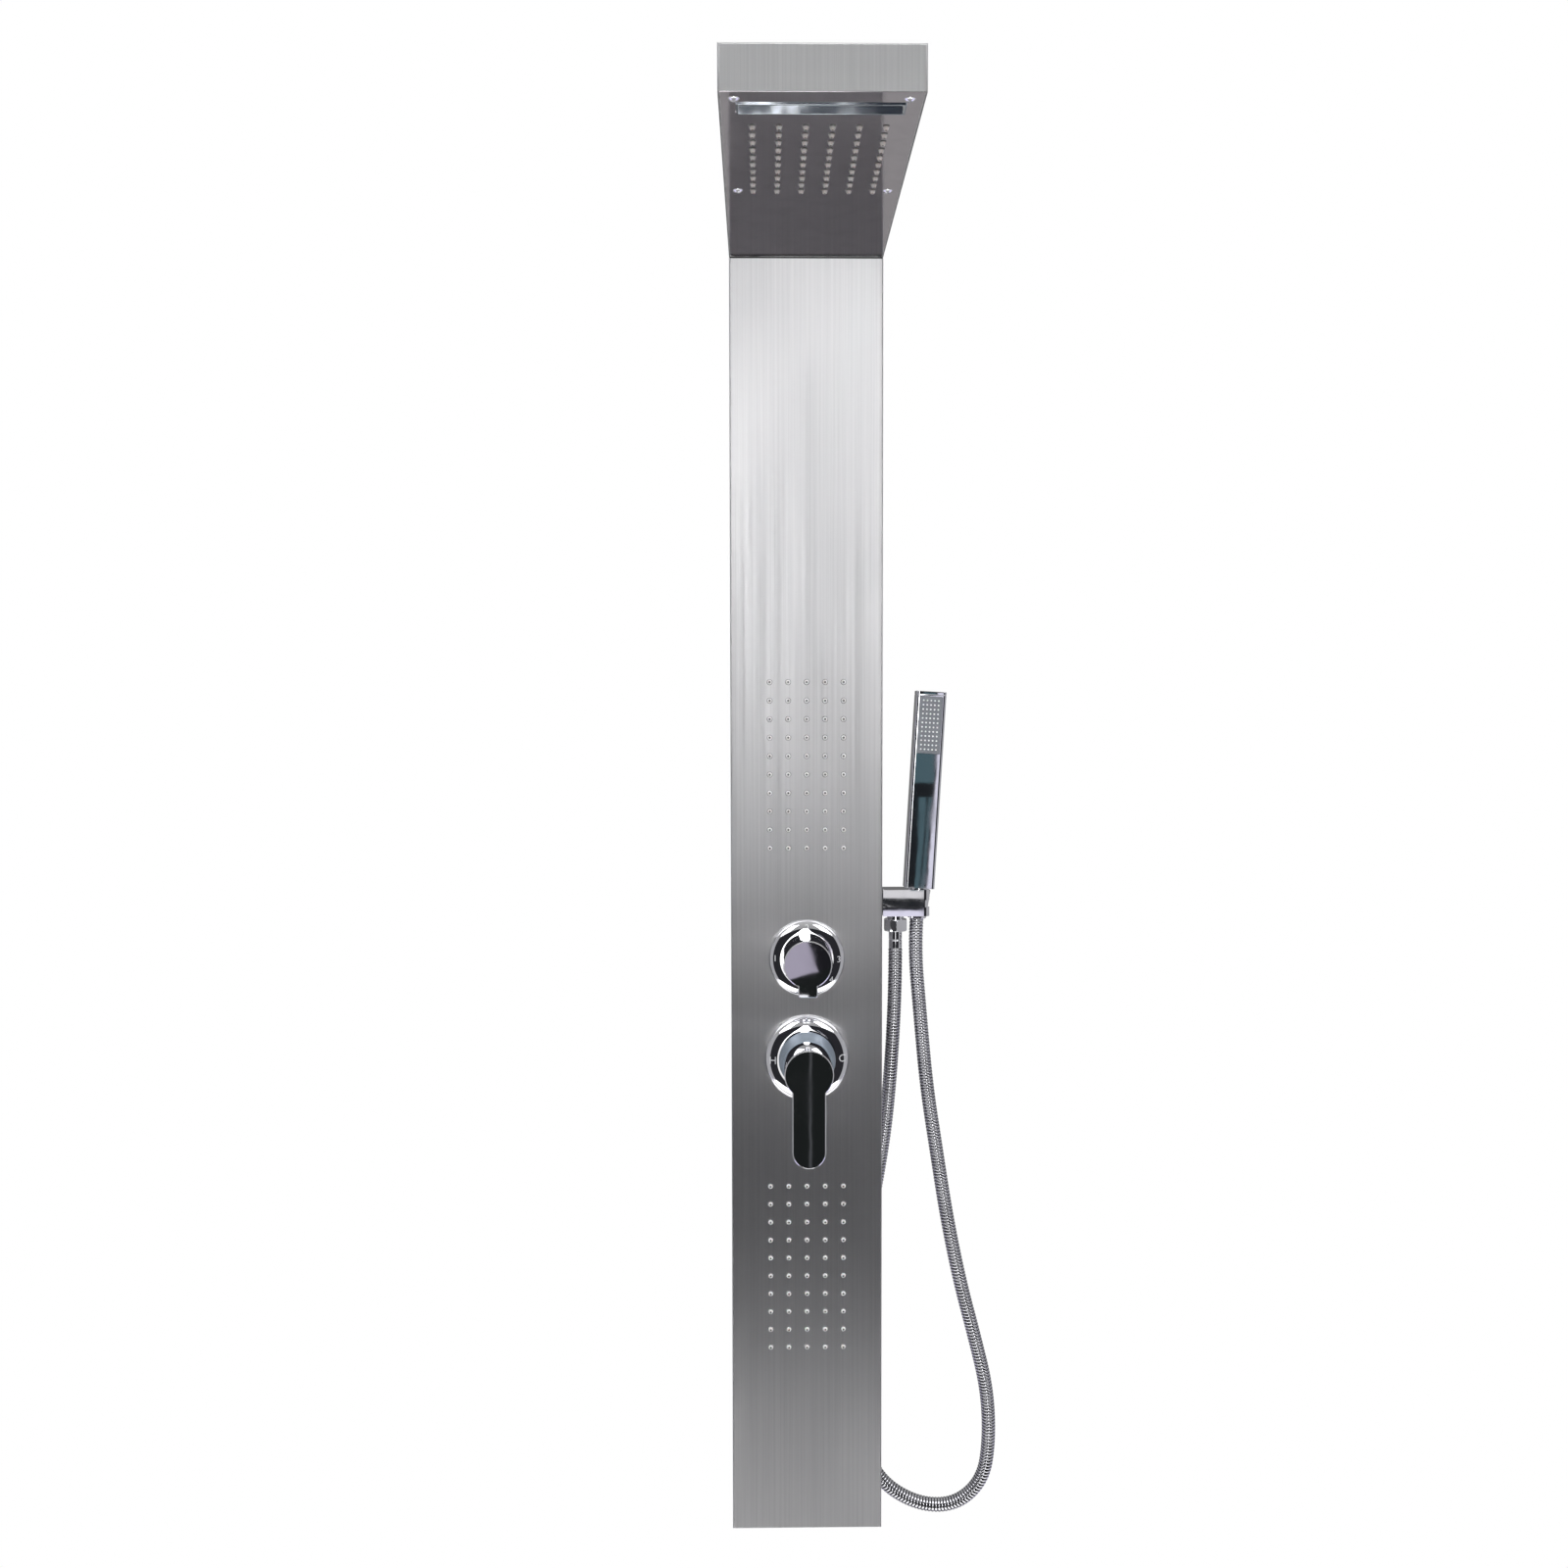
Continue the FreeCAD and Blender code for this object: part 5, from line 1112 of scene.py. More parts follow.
    def lay_floor(self) -> None:
        """A pale floor below the panel, ending just under the picture's lower edge."""
        blank = bmesh.new()
        level = spot(0, self.floor_height).z
        near = [(side, self.floor_front, level) for side in (-self.floor_half, self.floor_half)]
        far = [(side, self.floor_rear, level) for side in (self.floor_half, -self.floor_half)]
        blank.faces.new([blank.verts.new(corner) for corner in near + far])
        floor = cast("floor", blank)
        finish = Moulded("pale_floor", (0.86, 0.86, 0.86), 0.8, 60.0, 0.0002, 0.03)
        floor.data.materials.append(finish.material())
        floor.visible_glossy = False

    def hang_tent(self) -> None:
        """The tent of lit and dark cloths that only the metal mirrors."""
        blank = bmesh.new()
        bmesh.ops.create_icosphere(blank, subdivisions=4, radius=self.tent_radius)
        tent = cast("mirror_tent", blank)
        cloth = bpy.data.materials.new("tent_cloth")
        cloth.use_nodes = True
        self.paint_tent(Wiring(cloth.node_tree))
        tent.data.materials.append(cloth)
        for ray in ("camera", "diffuse", "transmission", "shadow", "volume_scatter"):
            setattr(tent, f"visible_{ray}", False)

    def paint_tent(self, wiring: Wiring) -> None:
        """The cloths' brightness by direction from the panel.

        Args:
            wiring: The cloth's wiring.
        """
        place = wiring.node("ShaderNodeTexCoord").outputs["Object"]
        unit = wiring.node("ShaderNodeVectorMath", {"operation": "NORMALIZE"}, _0=place).outputs[0]
        parts = wiring.node("ShaderNodeSeparateXYZ", _0=unit).outputs
        degrees = 180.0 / math.pi
        elevation = wiring.product(wiring.maths("ARCSINE", parts[2]), degrees)
        ahead = wiring.product(parts[1], -1.0)
        azimuth = wiring.product(wiring.maths("ARCTAN2", parts[0], ahead), degrees)
        height = wiring.total(wiring.maths("DIVIDE", elevation, 180.0), 0.5)
        front = self.ramp(wiring, height, self.front_ramp)
        rear = self.ramp(wiring, height, self.rear_ramp)
        to_a_side = wiring.maths("ABSOLUTE", azimuth)
        colour = wiring.mixed(wiring.ranged(to_a_side, 60.0, 105.0), front, rear)
        for patch in self.patches:
            turned_by = to_a_side if patch.mirrored else azimuth
            level = wiring.maths("SUBTRACT", elevation, wiring.product(azimuth, patch.slant))
            beside = wiring.maths("SUBTRACT", turned_by, wiring.product(elevation, patch.lean))
            within = self.band(wiring, beside, patch.azimuth, patch.soft)
            mask = wiring.product(within, self.band(wiring, level, patch.elevation, patch.soft))
            colour = wiring.mixed(mask, colour, opaque(patch.colour))
        glow = wiring.node("ShaderNodeEmission", Color=colour, Strength=1.0).outputs[0]
        wiring.node("ShaderNodeOutputMaterial", Surface=glow)

    @staticmethod
    def band(wiring: Wiring, value: Any, limits: Pair, soft: float) -> Link:
        """1 between two limits and 0 a soft edge away from them.

        Args:
            wiring: The cloth's wiring.
            value: The angle.
            limits: Both limits in degrees.
            soft: The soft edge's width in degrees.

        Returns:
            The share.
        """
        rise = wiring.ranged(value, limits[0] - soft, limits[0])
        fall = wiring.ranged(value, limits[1], limits[1] + soft, 1.0, 0.0)
        return wiring.product(rise, fall)

    def ramp(self, wiring: Wiring, place: Any, stops: Sequence[Pair]) -> Link:
        """A grey scale over elevation, which may be brighter than 1.

        Args:
            wiring: The cloth's wiring.
            place: The height from 0, straight down, to 1, straight up.
            stops: (degrees, brightness) pairs from the lowest up.

        Returns:
            The brightness.
        """
        made = wiring.node("ShaderNodeValToRGB", Fac=place)
        scale = made.color_ramp
        while len(scale.elements) < len(stops):
            scale.elements.new(1.0)
        for element, (degrees, value) in zip(scale.elements, stops):
            element.position = degrees / 180.0 + 0.5
            element.color = opaque((value / self.peak,) * 3)
        return wiring.product(made.outputs[0], self.peak)


# ---- hose ---------------------------------------------------------------------------------


@dataclass
class Hose:
    """The wound steel hose between the holder's outlet and the hand shower, in two runs.

    The rear run falls behind the column's right flange to the loop's lowest point and
    stays there; the front run rises to the hand shower and stretches as that is lifted.
    """

    trees: Trees
    radius: float = 7.0
    valley: float = 6.1
    rib_pitch: float = 3.3
    rings_per_rib: int = 6
    sides: int = 18
    length: float = 1281.4
    route: Sequence[Triple] = (
        (89.3, -34.0, 587.3), (89.3, -34.0, 556.6), (88.0, -25.0, 500.0), (85.6, -13.0, 446.0),
        (81.2, -9.0, 396.0), (73.0, -9.0, 344.0), (61.5, -9.0, 284.0), (53.0, -9.0, 226.0),
        (50.0, -9.0, 168.0), (51.0, -9.0, 118.0), (58.0, -9.0, 72.0), (74.5, -9.5, 28.5),
        (115.0, -12.0, 3.5), (155.0, -15.0, 4.5), (182.5, -18.5, 32.5), (188.2, -21.5, 77.0),
        (185.3, -23.5, 130.5), (172.0, -25.5, 185.5), (156.0, -28.0, 245.5), (142.0, -30.0, 314.0),
        (131.3, -32.0, 382.0), (121.0, -33.3, 448.0), (114.0, -34.0, 525.0), (108.735, -34.0, 585.81),
        (110.633, -34.0, 617.75),
    )

    def centreline(self) -> list[Vector]:
        """The points of the route's smooth line.

        Returns:
            The points, in metres.
        """
        curve = bpy.data.curves.new("hose_route", "CURVE")
        curve.dimensions = "3D"
        curve.resolution_u = 12
        spline = curve.splines.new("NURBS")
        spline.points.add(len(self.route) - 1)
        for point, (x, y, height) in zip(spline.points, self.route):
            point.co = (x * MM, y * MM, (height - DATUM_HEIGHT) * MM, 1.0)
        spline.order_u = 3
        spline.use_endpoint_u = True
        return [vert.co.copy() for vert in meshed(linked("hose_route", curve)).vertices]

    def build(self, fittings: dict[str, Piece]) -> None:
        """Args:
            fittings: The nuts and ferrules on the hose, by name; not used.
        """
        points = self.centreline()
        low = min(range(len(points)), key=lambda index: points[index].z)
        falling, rising = points[: low + 1], points[low:]
        rear = self.run("hose_rear_run", falling)
        front = self.run("hose_front_run", rising)
        dressed(rear, HOSE_STEEL, Body.COLUMN, Slot.HOSE_STEEL, "hose")
        front.data.materials.clear()
        front.data.materials.append(HOSE_STEEL.material())
        foot, head = rising[0], rising[-1]
        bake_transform(front, "column", "hose_end", tuple(foot), (foot.x, foot.y, head.z))
        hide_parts("hose")

    def run(self, name: str, points: Sequence[Vector]) -> Piece:
        """One run of ribbed tube along its points.

        Args:
            name: The run's name.
            points: Its line.

        Returns:
            The run.
        """
        mesh = bpy.data.meshes.new(name)
        mesh.from_pydata(points, [(index, index + 1) for index in range(len(points) - 1)], [])
        return self.trees.ribs.applied(
            linked(name, mesh),
            Ribs=round(measured(points) / (self.rib_pitch * MM)),
            Rings_per_Rib=self.rings_per_rib,
            Sides=self.sides,
            Crest=self.radius * MM,
            Valley=self.valley * MM,
            Finish=HOSE_STEEL.material(),
        )


def measured(points: Sequence[Vector]) -> float:
    """The length of a line through points."""
    return sum((after - before).length for before, after in zip(points, points[1:]))


# ---- casings --------------------------------------------------------------------------------


@dataclass
class Casings:
    """The folded column, the head with its mirror plate, the plate's screws and a black strip in the crease
    as painted shade.
    """

    trees: Trees
    screw_x: float = 63.5
    screw_out: Pair = (190.0, 386.0)
    screw_radius: float = 4.3
    screw_dome: float = 5.805
    screw_rise: float = 2.4
    shank_radius: float = 2.0
    shank_length: float = 4.6
    slot_half: float = 0.5
    slot_reach: float = 2.5
    slot_depth: float = 1.5
    crease_half: float = 74.4
    crease_height: float = 1.9
    crease_setback: float = 0.9
    crease_depth: float = 2.9
    seed: int = 7

    def build(self) -> None:
        """Makes and dresses the casings."""
        self.fill_crease()
        redone("column_sheet", "column_casing", COLUMN_STEEL, slot=Slot.SHEET, grain=UP)
        unmirrored(redone("head_sheet", "head_casing", HEAD_STEEL, 0.5, slot=Slot.SHEET, grain=UP))
        unmirrored(redone("mirror_plate", "head_plate", MIRROR_PLATE, slot=Slot.PLATE))
        self.drive_screws()

    def fill_crease(self) -> None:
        """A dark strip set back in the gap between the column's front and the head, a painted shade for the
        gap's dark line.
        """
        front, rear = self.crease_setback, self.crease_setback + self.crease_depth
        foot = -self.crease_height
        outline = [(front, foot), (rear, foot), (rear, 0.0), (front, 0.0)]
        blank = bmesh.new()
        left_end = spot(-self.crease_half, HEAD_UNDERSIDE)
        prism(blank, outline, left_end, INWARD, UP, 2 * self.crease_half)
        strip = softened(cast("crease_strip", blank), 0.2)
        # The sealing rubber's black is used here as a painted shade, not as a seal.
        dressed(strip, SEAL, Body.COLUMN, Slot.SEAL)

    def screw_seed(self) -> Piece:
        """A domed cross-head screw at the origin, its head pointing down.

        Returns:
            The screw.
        """
        tail, dome = -self.shank_length, self.screw_dome
        profile = [(0.0, tail), (self.shank_radius, tail), (self.shank_radius, 0.0)]
        profile.append((self.screw_radius, 0.0))
        for share in (1.0, 0.8, 0.55, 0.3, 0.0):
            radius = self.screw_radius * share
            profile.append((radius, self.screw_rise - dome + math.sqrt(dome**2 - radius**2)))
        blank = bmesh.new()
        turned(blank, profile, Vector(), -UP, 28)
        head = cast("screw_seed", blank)
        reach, half = self.slot_reach, self.slot_half
        cross = [(-reach, -half), (-half, -half), (-half, -reach)]
        for _ in range(3):
            cross += [(-v, u) for u, v in cross[-3:]]
        blank = bmesh.new()
        above = 0.5
        start = -UP * (self.screw_rise + above) * MM
        prism(blank, cross, start, RIGHT, INWARD, self.slot_depth + above)
        trimmed(head, cast("screw_cross", blank), Cut.TAKE_AWAY)
        return softened(head, 0.08, segments=1)

    def drive_screws(self) -> None:
        """The plate's four screws."""
        seed = self.screw_seed()
        ends = [(side * self.screw_x, out) for out in self.screw_out for side in (-1, 1)]
        mesh = bpy.data.meshes.new("plate_screws")
        mesh.from_pydata([spot(x, HEAD_UNDERSIDE, out) for x, out in ends], [], [])
        screws = self.trees.screws.applied(
            linked("plate_screws", mesh), Screw=seed, Seed=self.seed, Finish=CHROME.material()
        )
        bpy.data.objects.remove(seed)
        unmirrored(dressed(screws, CHROME, Body.COLUMN, Slot.CHROME, "head_screws"))


@dataclass
class NozzleField:
    """A silicone mat behind a sheet, with its nozzles through the sheet."""

    name: str
    node: str
    centre: Vector
    facing: Vector
    across: Vector
    grid: tuple[int, int]
    pitch: Pair
    nozzle: Triple
    finish: Finish
    sheet: float = SHEET
    mat: float = 2.0
    margin: float = 2.4
    corner: float = 1.2
    bore: float = 0.75
    body: Body = Body.COLUMN
    sides: int = 14

    def nozzle_seed(self) -> Piece:
        """One nozzle at the origin, pointing along +Z from the sheet's inner face.

        Returns:
            The nozzle.
        """
        wide, tip, proud = self.nozzle
        root, top = -self.mat / 2, self.sheet + proud
        shoulder, floor = self.sheet + proud * 0.3, top - proud * 0.7
        profile = [(wide, root), (wide, self.sheet), (wide * 0.93, shoulder)]
        profile += [(tip, top - proud * 0.1), (tip * 0.86, top), (self.bore, top)]
        profile += [(self.bore * 0.8, floor), (0.0, floor), (0.0, root)]
        blank = bmesh.new()
        turned(blank, profile, Vector(), UP, self.sides)
        seed = cast(self.name + "_seed", blank)
        rise = seed.data.attributes.new("rise", "FLOAT", "POINT")
        for vert in seed.data.vertices:
            rise.data[vert.index].value = self.rise_at(vert.co)
        seed.data.shade_smooth()
        seed.data.set_sharp_from_angle(angle=NOZZLE_SHARP_ANGLE)
        return seed

    def rise_at(self, place: Vector) -> float:
        """How far up a nozzle a point is, 0 again inside its bore so that the bore takes the root's painted
        shade.

        Args:
            place: The point, in metres.

        Returns:
            0 at the root and 1 at the tip.
        """
        if math.hypot(place.x, place.y) < self.bore * 1.01 * MM:
            return 0.0
        return max(0.0, (place.z / MM - self.sheet) / self.nozzle[2])

    def build(self, trees: Trees) -> None:
        """Makes and dresses the field.

        Args:
            trees: The shared geometry trees.
        """
        columns, rows = self.grid
        rim = 2 * (self.nozzle[0] + self.margin)
        width = (columns - 1) * self.pitch[0] + rim
        length = (rows - 1) * self.pitch[1] + rim
        outline = rounded_rectangle(width, length, self.corner, 3)
        blank = bmesh.new()
        prism(blank, outline, -UP * self.mat * MM, RIGHT, INWARD, self.mat)
        mat = cast(self.name, blank)
        seed = self.nozzle_seed()
        made = trees.grid.applied(
            mat,
            Nozzle=seed,
            Columns=columns,
            Rows=rows,
            Pitch_Across=self.pitch[0] * MM,
            Pitch_Along=self.pitch[1] * MM,
            Finish=self.finish.material(),
        )
        bpy.data.objects.remove(seed)
        along = self.facing.cross(self.across)
        place = Matrix((self.across, along, self.facing)).transposed().to_4x4()
        made.data.transform(Matrix.Translation(self.centre) @ place)
        dressed(made, self.finish, self.body, Slot.SILICONE, self.node)
        if self.facing == -UP:
            unmirrored(made)


def nozzle_fields() -> list[NozzleField]:
    """The rain field in the head and both jet fields in the column.

    Returns:
        The three fields.
    """
    fields = [
        NozzleField(
            "rain_field", "rain_nozzles", spot(0, HEAD_UNDERSIDE + SHEET, 263.5), -UP, RIGHT,
            (6, 10), (20.2, 15.9), (2.7, 1.7, 3.4), NOZZLE_SILICONE,
        )
    ]
    for side, height in (("upper", 771.5), ("lower", 268.9)):
        centre = spot(0, height, -SHEET)
        fields.append(
            NozzleField(
                f"{side}_jet_field", f"{side}_jet_nozzles", centre, OUTWARD, RIGHT,
                (5, 10), (18.2, 18.2), (2.7, 1.7, 2.6), JET_SILICONE,
            )
        )
    return fields


# ---- controls ---------------------------------------------------------------------------------


@dataclass(frozen=True)
class DomedRing:
    """A chromed cover ring with a rounded shoulder."""

    name: str
    node: str
    height: float
    radius: float
    rise: float
    flat: float
    bore: float
    edge: float = 2.0
    wall: float = 1.6
    foot_chamfer: float = 0.35
    bore_chamfer: float = 0.3
    steps: int = 12
    mark_depth: float = 0.03
    mark_lift: float = 0.02

    def surface(self, radius: float) -> float:
        """How far out the ring's front lies at a radius from its middle."""
        share = max(0.0, min(1.0, (radius - self.flat) / (self.radius - self.flat)))
        return self.edge + (self.rise - self.edge) * math.sqrt(1.0 - share * share)

    def build(self) -> None:
        """Turns and dresses the ring."""
        top = self.rise - self.wall
        inner = self.radius - self.wall
        foot, lip = self.foot_chamfer, self.bore_chamfer
        profile = [(self.radius - foot, 0.0), (self.radius, foot)]
        for step in range(self.steps + 1):
            turn = math.radians(90.0 * step / self.steps)
            across = self.flat + (self.radius - self.flat) * math.cos(turn)
            profile.append((across, self.edge + (self.rise - self.edge) * math.sin(turn)))
        profile += [(self.bore + lip, self.rise), (self.bore, self.rise - lip), (self.bore, top)]
        profile += [(self.flat, top), (inner - 3.0, top * 0.72), (inner, self.edge), (inner, 0.0)]
        blank = bmesh.new()
        turned(blank, profile, spot(0, self.height), OUTWARD, 128)
        ring = softened(cast(self.name, blank))
        dressed(ring, CHROME, Body.COLUMN, Slot.CHROME, self.node)

    def mark(self, name: str, text: str, x: float, rise: float, size: float) -> None:
        """Etches a plain letter or number on the shoulder.

        Args:
            name: The piece's name.
            text: The letter or number.
            x: Millimetres right of the ring's middle.
            rise: Millimetres above it.
            size: The letter's height in millimetres.
        """
        words = bpy.data.curves.new(name, "FONT")
        words.body = text
        words.size = size * CAPITAL_TO_FONT
        words.align_x = words.align_y = "CENTER"
        words.extrude = self.mark_depth
        blank = bmesh.new()
        blank.from_mesh(meshed(linked(name + "_outline", words)))
        bmesh.ops.triangulate(blank, faces=blank.faces)
        bmesh.ops.remove_doubles(blank, verts=blank.verts, dist=1e-4)
        bmesh.ops.subdivide_edges(blank, edges=blank.edges, cuts=2, use_grid_fill=True)
        for vert in blank.verts:
            u, v = vert.co.x + x, vert.co.y + rise
            out = self.surface(math.hypot(u, v)) + self.mark_lift + vert.co.z
            vert.co = spot(u, self.height + v, out)
        dressed(cast(name, blank), ETCHED, Body.COLUMN, Slot.INDEX)


@dataclass
class Mixer:
    """The mixer's cover ring, satin sleeve, lever and index plug."""

    height: float = 480.5
    pivot_out: float = 12.0
    dome: float = 33.5
    rim: float = 24.2
    hole: float = 19.0
    flange: float = 28.0
    wall: float = 1.8
    bore: float = 21.05
    sleeve_base: float = 12.7
    spigot: float = 26.95
    spigot_foot: float = 6.0
    lever_radius: float = 23.5
    plug_radius: float = 3.4
    plug_out: float = 53.0
    plug_foot: float = 19.7
    plug_chamfer: float = 0.12
    plug_steps: int = 24

    def build(self) -> None:
        """Makes and dresses the mixer's visible pieces."""
        ring = DomedRing("mixer_ring", "mixer_escutcheon", self.height, 42.5, 12.7, 29.5, 27.0)
        ring.build()
        ring.mark("hot_mark", "H", -34.0, -0.5, 7.6)
        ring.mark("cold_mark", "C", 34.6, 1.5, 7.4)
        self.turn_sleeve()
        redone("lever", "mixer_lever", CHROME, 0.22, Body.LEVER)
        self.set_plug()

    def on_dome(self, dome: float, radius: float) -> float:
        """How far out a dome about the pivot lies at a radius."""
        return self.pivot_out + math.sqrt(dome**2 - radius**2)

    def turn_sleeve(self) -> None:
        """The satin sleeve, domed about the lever's pivot."""
        base, foot, spigot = self.sleeve_base, self.spigot_foot, self.spigot
        low, top = base + 0.5, self.on_dome(self.dome, self.rim)
        profile = [(self.bore, foot), (spigot, foot), (spigot, base), (self.flange - 0.4, base)]
        profile.append((self.flange, low))
        for share in (0.0, 0.35, 0.7, 0.93, 1.0):
            radius = self.flange + (self.rim - self.flange) * share
            profile.append((radius, low + (top - low) * share))
        for step in range(1, 6):
            radius = self.rim + (self.hole - self.rim) * step / 5
            profile.append((radius, self.on_dome(self.dome, radius)))
        for radius in (self.hole, self.rim - self.wall):
            profile.append((radius, self.on_dome(self.dome - self.wall, radius)))
        profile += [(self.flange - 2.34, base + self.wall), (self.bore, base + self.wall)]
        blank = bmesh.new()
        turned(blank, profile, spot(0, self.height), OUTWARD, 96)
        dressed(softened(cast("satin_sleeve", blank)), SATIN, Body.COLUMN, Slot.SATIN, "mixer_sleeve")

    def set_plug(self) -> None:
        """The dark plug over the lever's screw, its top following the hub's side."""
        blank = bmesh.new()
        rings = []
        for share in (0.0, 0.35, 0.65, 0.88, 1.0):
            ring = []
            for step in range(self.plug_steps):
                turn = math.tau * step / self.plug_steps
                x = self.plug_radius * share * math.cos(turn)
                out = self.plug_out + self.plug_radius * share * math.sin(turn)
                rise = math.sqrt(self.lever_radius**2 - x * x)
                if share == 1.0:
                    rise -= self.plug_chamfer
                ring.append(blank.verts.new(spot(x, self.height + rise, out)))
            rings.append(ring)
        foot = spot(0, self.height + self.plug_foot).z
        rings.append([blank.verts.new((vert.co.x, vert.co.y, foot)) for vert in rings[-1]])
        for near, far in zip(rings, rings[1:]):
            stitched(blank, near, far)
        blank.faces.new(rings[-1])
        plug = softened(cast("lever_plug", blank))
        dressed(plug, INDEX_DARK, Body.LEVER, Slot.INDEX, "mixer_index_plug")


@dataclass
class Diverter:
    """The diverter's cover ring with plain numbers, and its knob."""

    height: float = 580.0
    mark_radius: float = 31.5
    mark_size: float = 6.2
    mark_angles: Sequence[float] = (178.0, 90.0, 0.0, -40.0, -90.0)

    def build(self) -> None:
        """Makes and dresses the diverter's visible pieces."""
        ring = DomedRing("diverter_ring", "diverter_escutcheon", self.height, 38.0, 10.0, 26.0, 14.05)
        ring.build()
        for number, angle in enumerate(self.mark_angles, start=1):
            turn = math.radians(angle)
            x, rise = self.mark_radius * math.cos(turn), self.mark_radius * math.sin(turn)
            ring.mark(f"outlet_mark_{number}", str(number), x, rise, self.mark_size)
        redone("knob", "diverter_knob", CHROME, 0.22, Body.KNOB)


# ---- holder and fittings --------------------------------------------------------------------


@dataclass
class HoseFittings:
    """The holder, its gasket, and the nuts and ferrules at the hose's two ends.

    The sections are (radius, along) pairs in millimetres.
    """

    holder_height: float = 634.0
    holder_out: float = -16.0
    flange_x: float = 75.0
    outlet_x: float = 14.3
    seat_x: float = 37.4
    lean: float = 3.4
    holder_top: float = 13.5
    holder_foot: float = -13.0
    nut_flats: float = 22.0
    nut_bore: float = 8.4
    nut_drop: float = 4.0
    nut_length: float = 12.0
    gasket: Sequence[Pair] = ((8.4, 0.0), (10.8, 0.0), (11.0, 0.5), (10.8, 1.0), (8.4, 1.0))
    lower_ferrule: Sequence[Pair] = (
        (4.0, 1.5), (7.8, 1.5), (8.0, 1.7), (8.0, 2.9), (7.8, 3.1), (6.6, 3.1), (6.6, 12.0),
        (6.3, 12.4), (6.3, 13.2), (6.6, 13.6), (6.6, 21.1), (6.2, 21.7), (4.0, 21.7),
    )
    upper_ferrule: Sequence[Pair] = (
        (4.0, 0.0), (8.0, 0.0), (8.0, 1.6), (6.6, 1.6), (6.6, 18.4), (6.3, 18.8), (4.0, 18.8),
    )
    upper_ferrule_drop: float = 11.0
    cone_drop: float = 1.0
    cone: Triple = (12.2, 9.3, 28.5)
    cone_grooves: Pair = (4.2, 24.0)
    groove_depth: float = 0.45
    made: dict[str, Piece] = field(default_factory=dict)

    def seat(self) -> tuple[Vector, Vector]:
        """The top of the hand shower's seat and the direction of its leaning axis.

        Returns:
            The point in metres and the direction.
        """
        turn = math.radians(self.lean)
        height = self.holder_height + self.holder_top
        point = spot(self.flange_x + self.seat_x, height, self.holder_out)
        return point, Vector((math.sin(turn), 0.0, math.cos(turn)))

    def build(self) -> dict[str, Piece]:
        """Makes and dresses the holder and the fittings.

        Returns:
            The pieces on the hose by name.
        """
        redone("grooved_holder", "handset_holder", CHROME, 0.35)
        middle = spot(self.flange_x, self.holder_height, self.holder_out)
        blank = bmesh.new()
        turned(blank, self.gasket, middle, RIGHT)
        seal = softened(cast("holder_seal", blank))
        dressed(seal, SEAL, Body.COLUMN, Slot.SEAL, "holder_gasket")
        height = self.holder_height + self.holder_foot
        outlet = spot(self.flange_x + self.outlet_x, height, self.holder_out)
        self.hex_nut(outlet - UP * self.nut_drop * MM)
        washer = outlet - UP * self.nut_length * MM
        self.turn("hose_lower_ferrule", self.lower_ferrule, washer, -UP)
        top, axis = self.seat()
        start = top - axis * self.cone_drop * MM
        self.turn("hose_cone_nut", self.cone_profile(), start, -axis, Body.HAND_SHOWER)
        start = top - axis * self.upper_ferrule_drop * MM
        self.turn("hose_upper_ferrule", self.upper_ferrule, start, -axis, Body.HOSE_END)
        return self.made

    def cone_profile(self) -> list[Pair]:
        """The cone nut's section: a long taper with two fine rings turned into it.

        Returns:
            The section, without its end repeated.
        """
        wide, narrow, long = self.cone

        def side(along: float) -> float:
            """The taper's radius."""
            return wide + (narrow - wide) * along / long

        profile = [(10.45, 0.0), (wide - 0.5, 0.0), (side(0.5), 0.5)]
        for groove in self.cone_grooves:
            floor = side(groove) - self.groove_depth
            profile += [(side(groove), groove), (floor, groove + 0.3), (floor, groove + 0.8)]
            profile.append((side(groove + 1.1), groove + 1.1))
        profile += [(side(28.0), 28.0), (narrow - 0.5, long), (6.7, long), (6.7, 13.2), (8.1, 13.2)]
        return profile + [(8.1, 10.6), (10.45, 10.6)]

    def turn(
        self, name: str, profile: Sequence[Pair], base: Vector, axis: Vector, body: Body = Body.COLUMN
    ) -> None:
        """Turns one chromed fitting.

        Args:
            name: The name of the piece and of its CAD node.
            profile: Its section.
            base: Where along is 0, in metres.
            axis: The direction of along.
            body: What it moves with.
        """
        blank = bmesh.new()
        turned(blank, profile, base, axis)
        made = softened(cast(name, blank))
        self.made[name] = dressed(made, CHROME, body, Slot.CHROME, name)

    def hex_nut(self, top: Vector) -> None:
        """The hexagonal nut at the holder's outlet, with turned chamfers and a bored foot.

        Args:
            top: The middle of the nut's upper face, in metres.
        """
        length, bore = self.nut_length, self.nut_bore
        blank = bmesh.new()
        prism(blank, hexagon(self.nut_flats), top - UP * length * MM, RIGHT, INWARD, length)
        nut = cast("hose_hex_nut", blank)
        flat, corner = self.nut_flats / 2 - 0.3, self.nut_flats / math.sqrt(3.0) + 0.1
        above, below, chamfer = -0.1, length + 0.1, 1.2
        limit = [(bore, above), (flat, above), (corner, chamfer)]
        limit += [(corner, length - chamfer), (flat, below), (bore, below)]
        blank = bmesh.new()
        turned(blank, limit, top, -UP, 96)
        trimmed(nut, cast("nut_limit", blank), Cut.KEEP_SHARED)
        softened(nut, 0.15, segments=2)
        self.made["hose_hex_nut"] = dressed(nut, CHROME, Body.COLUMN, Slot.CHROME, "hose_hex_nut")


# ---- hand shower ---------------------------------------------------------------------------


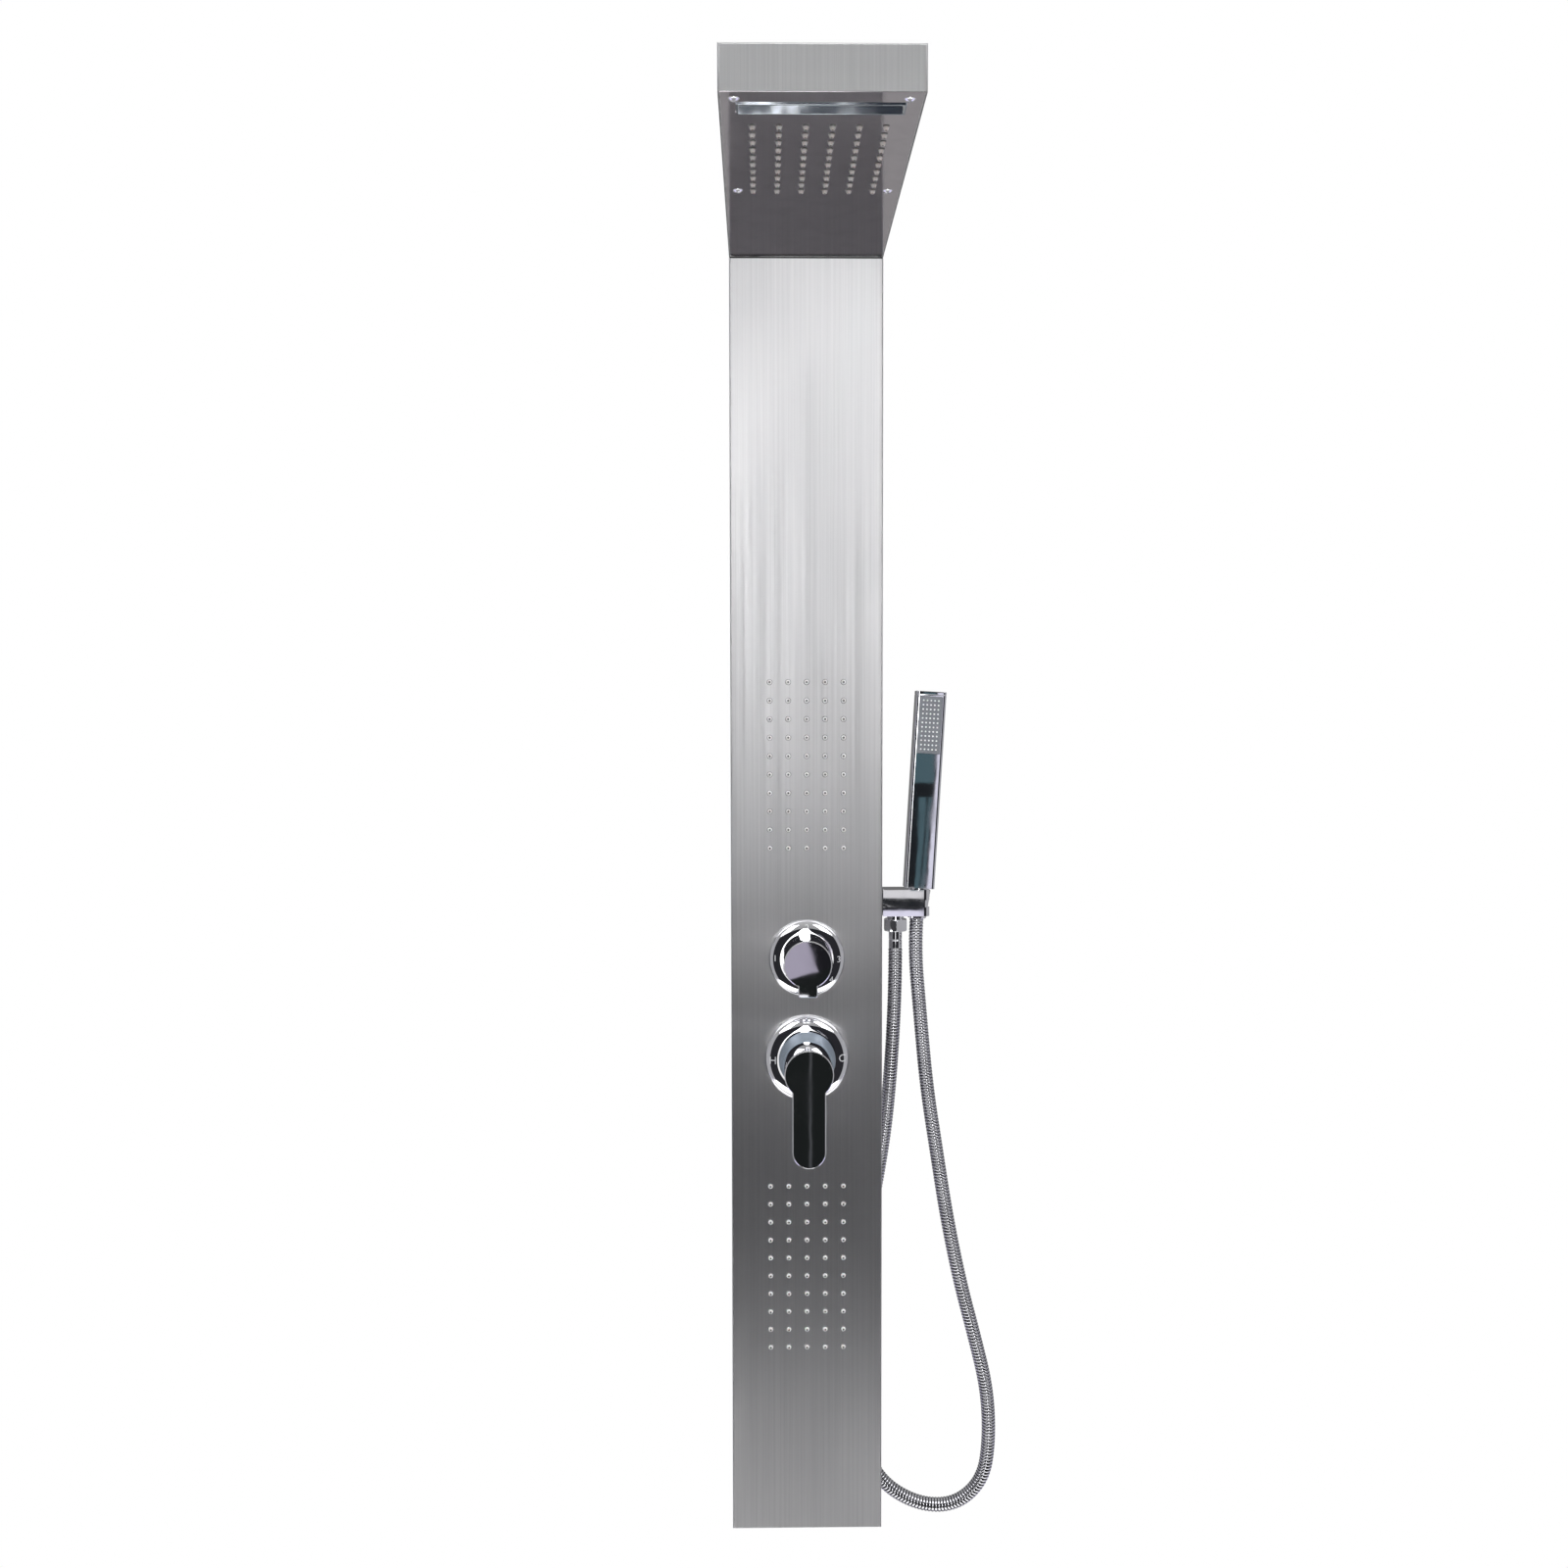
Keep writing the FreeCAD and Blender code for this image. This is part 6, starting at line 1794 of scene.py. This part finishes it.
@dataclass
class HandShower:
    """The square hand shower: body, cap, grey spray face and its pale nozzles."""

    fittings: HoseFittings
    width: float = 30.0
    depth: float = 22.0
    length: float = 196.0
    gap: float = 1.0
    corner: float = 3.0
    cap: float = 3.5
    face_width: float = 23.0
    face_length: float = 56.5
    face_top: float = 1.5
    face_depth: float = 2.0
    face_play: float = 0.2
    cap_joint: float = 0.15

    def axes(self) -> tuple[Vector, Vector, Vector, Vector]:
        """Its foot, and its directions across, inward and upward.

        Returns:
            The foot and the three directions.
        """
        top, axis = self.fittings.seat()
        across = Vector((axis.z, 0.0, -axis.x))
        return top + axis * self.gap * MM, across, axis.cross(across), axis

    def build(self, trees: Trees) -> None:
        """Makes and dresses the hand shower's visible pieces.

        Args:
            trees: The shared geometry trees.
        """
        foot, across, inward, axis = self.axes()
        redone("hand_shower_body", "handset_body", HAND_CHROME, 0.3, Body.HAND_SHOWER)
        top = self.length - self.cap
        outline = rounded_rectangle(self.width, self.depth, self.corner, 8)
        start = foot + axis * (top + self.cap_joint) * MM
        blank = bmesh.new()
        prism(blank, outline, start, across, inward, self.cap - self.cap_joint)
        cap = softened(cast("hand_shower_cap", blank), 0.5)
        dressed(cap, HAND_CHROME, Body.HAND_SHOWER, Slot.CHROME, "handset_cap")
        middle = foot + axis * (top - self.face_top - self.face_length / 2) * MM
        bed = middle - inward * (self.depth / 2 - self.face_depth) * MM
        width, length = self.face_width - self.face_play, self.face_length - self.face_play
        blank = bmesh.new()
        prism(blank, rounded_rectangle(width, length, 0.8, 4), bed, across, axis, self.face_depth)
        face = softened(cast("hand_shower_face", blank), 0.2)
        dressed(face, GREY_FACE, Body.HAND_SHOWER, Slot.GREY_FACE, "handset_face")
        NozzleField(
            "hand_shower_nozzles", "handset_nozzles", bed, -inward, across,
            (5, 12), (3.75, 4.4), (0.9, 0.8, 0.9), PALE_SILICONE,
            sheet=self.face_depth, mat=1.5, margin=4.6, bore=0.2, body=Body.HAND_SHOWER, sides=10,
        ).build(trees)


# ---- what stays as the CAD made it -------------------------------------------------------------


def dress_nodes() -> None:
    """Gives every CAD node the finish of its slot, and the plated connector its own.

    What lies inside the head isn't mirrored in the column, as the head itself isn't.
    """
    slots = {part["node"]: Slot(part["material_slot"]) for part in frame["record"]["subparts"]}
    for name, node in frame["nodes"].items():
        finish = NODE_FINISH.get(name, SLOT_FINISH[slots[name]])
        node.data.materials.clear()
        node.data.materials.append(finish.material())
        low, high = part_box(name)
        if high[2] > HEAD_FLOOR and low[1] < -FACE_TO_WALL * MM:
            unmirrored(node)
        LOG.info("%s: finish %s", name, finish.name)


def main() -> None:
    """Builds the studio, then the panel from its hose to its hand shower."""
    logging.basicConfig(level=logging.INFO, format="%(name)s: %(message)s")
    Studio().build()
    trees = Trees()
    dress_nodes()
    fittings = HoseFittings()
    Hose(trees).build(fittings.build())
    Casings(trees).build()
    for nozzle_field in nozzle_fields():
        nozzle_field.build(trees)
    unmirrored(redone("waterfall_outlet", "waterfall_spout", DARK_CHROME, 0.3))
    Mixer().build()
    Diverter().build()
    HandShower(fittings).build(trees)


if __name__ == "__main__":
    main()
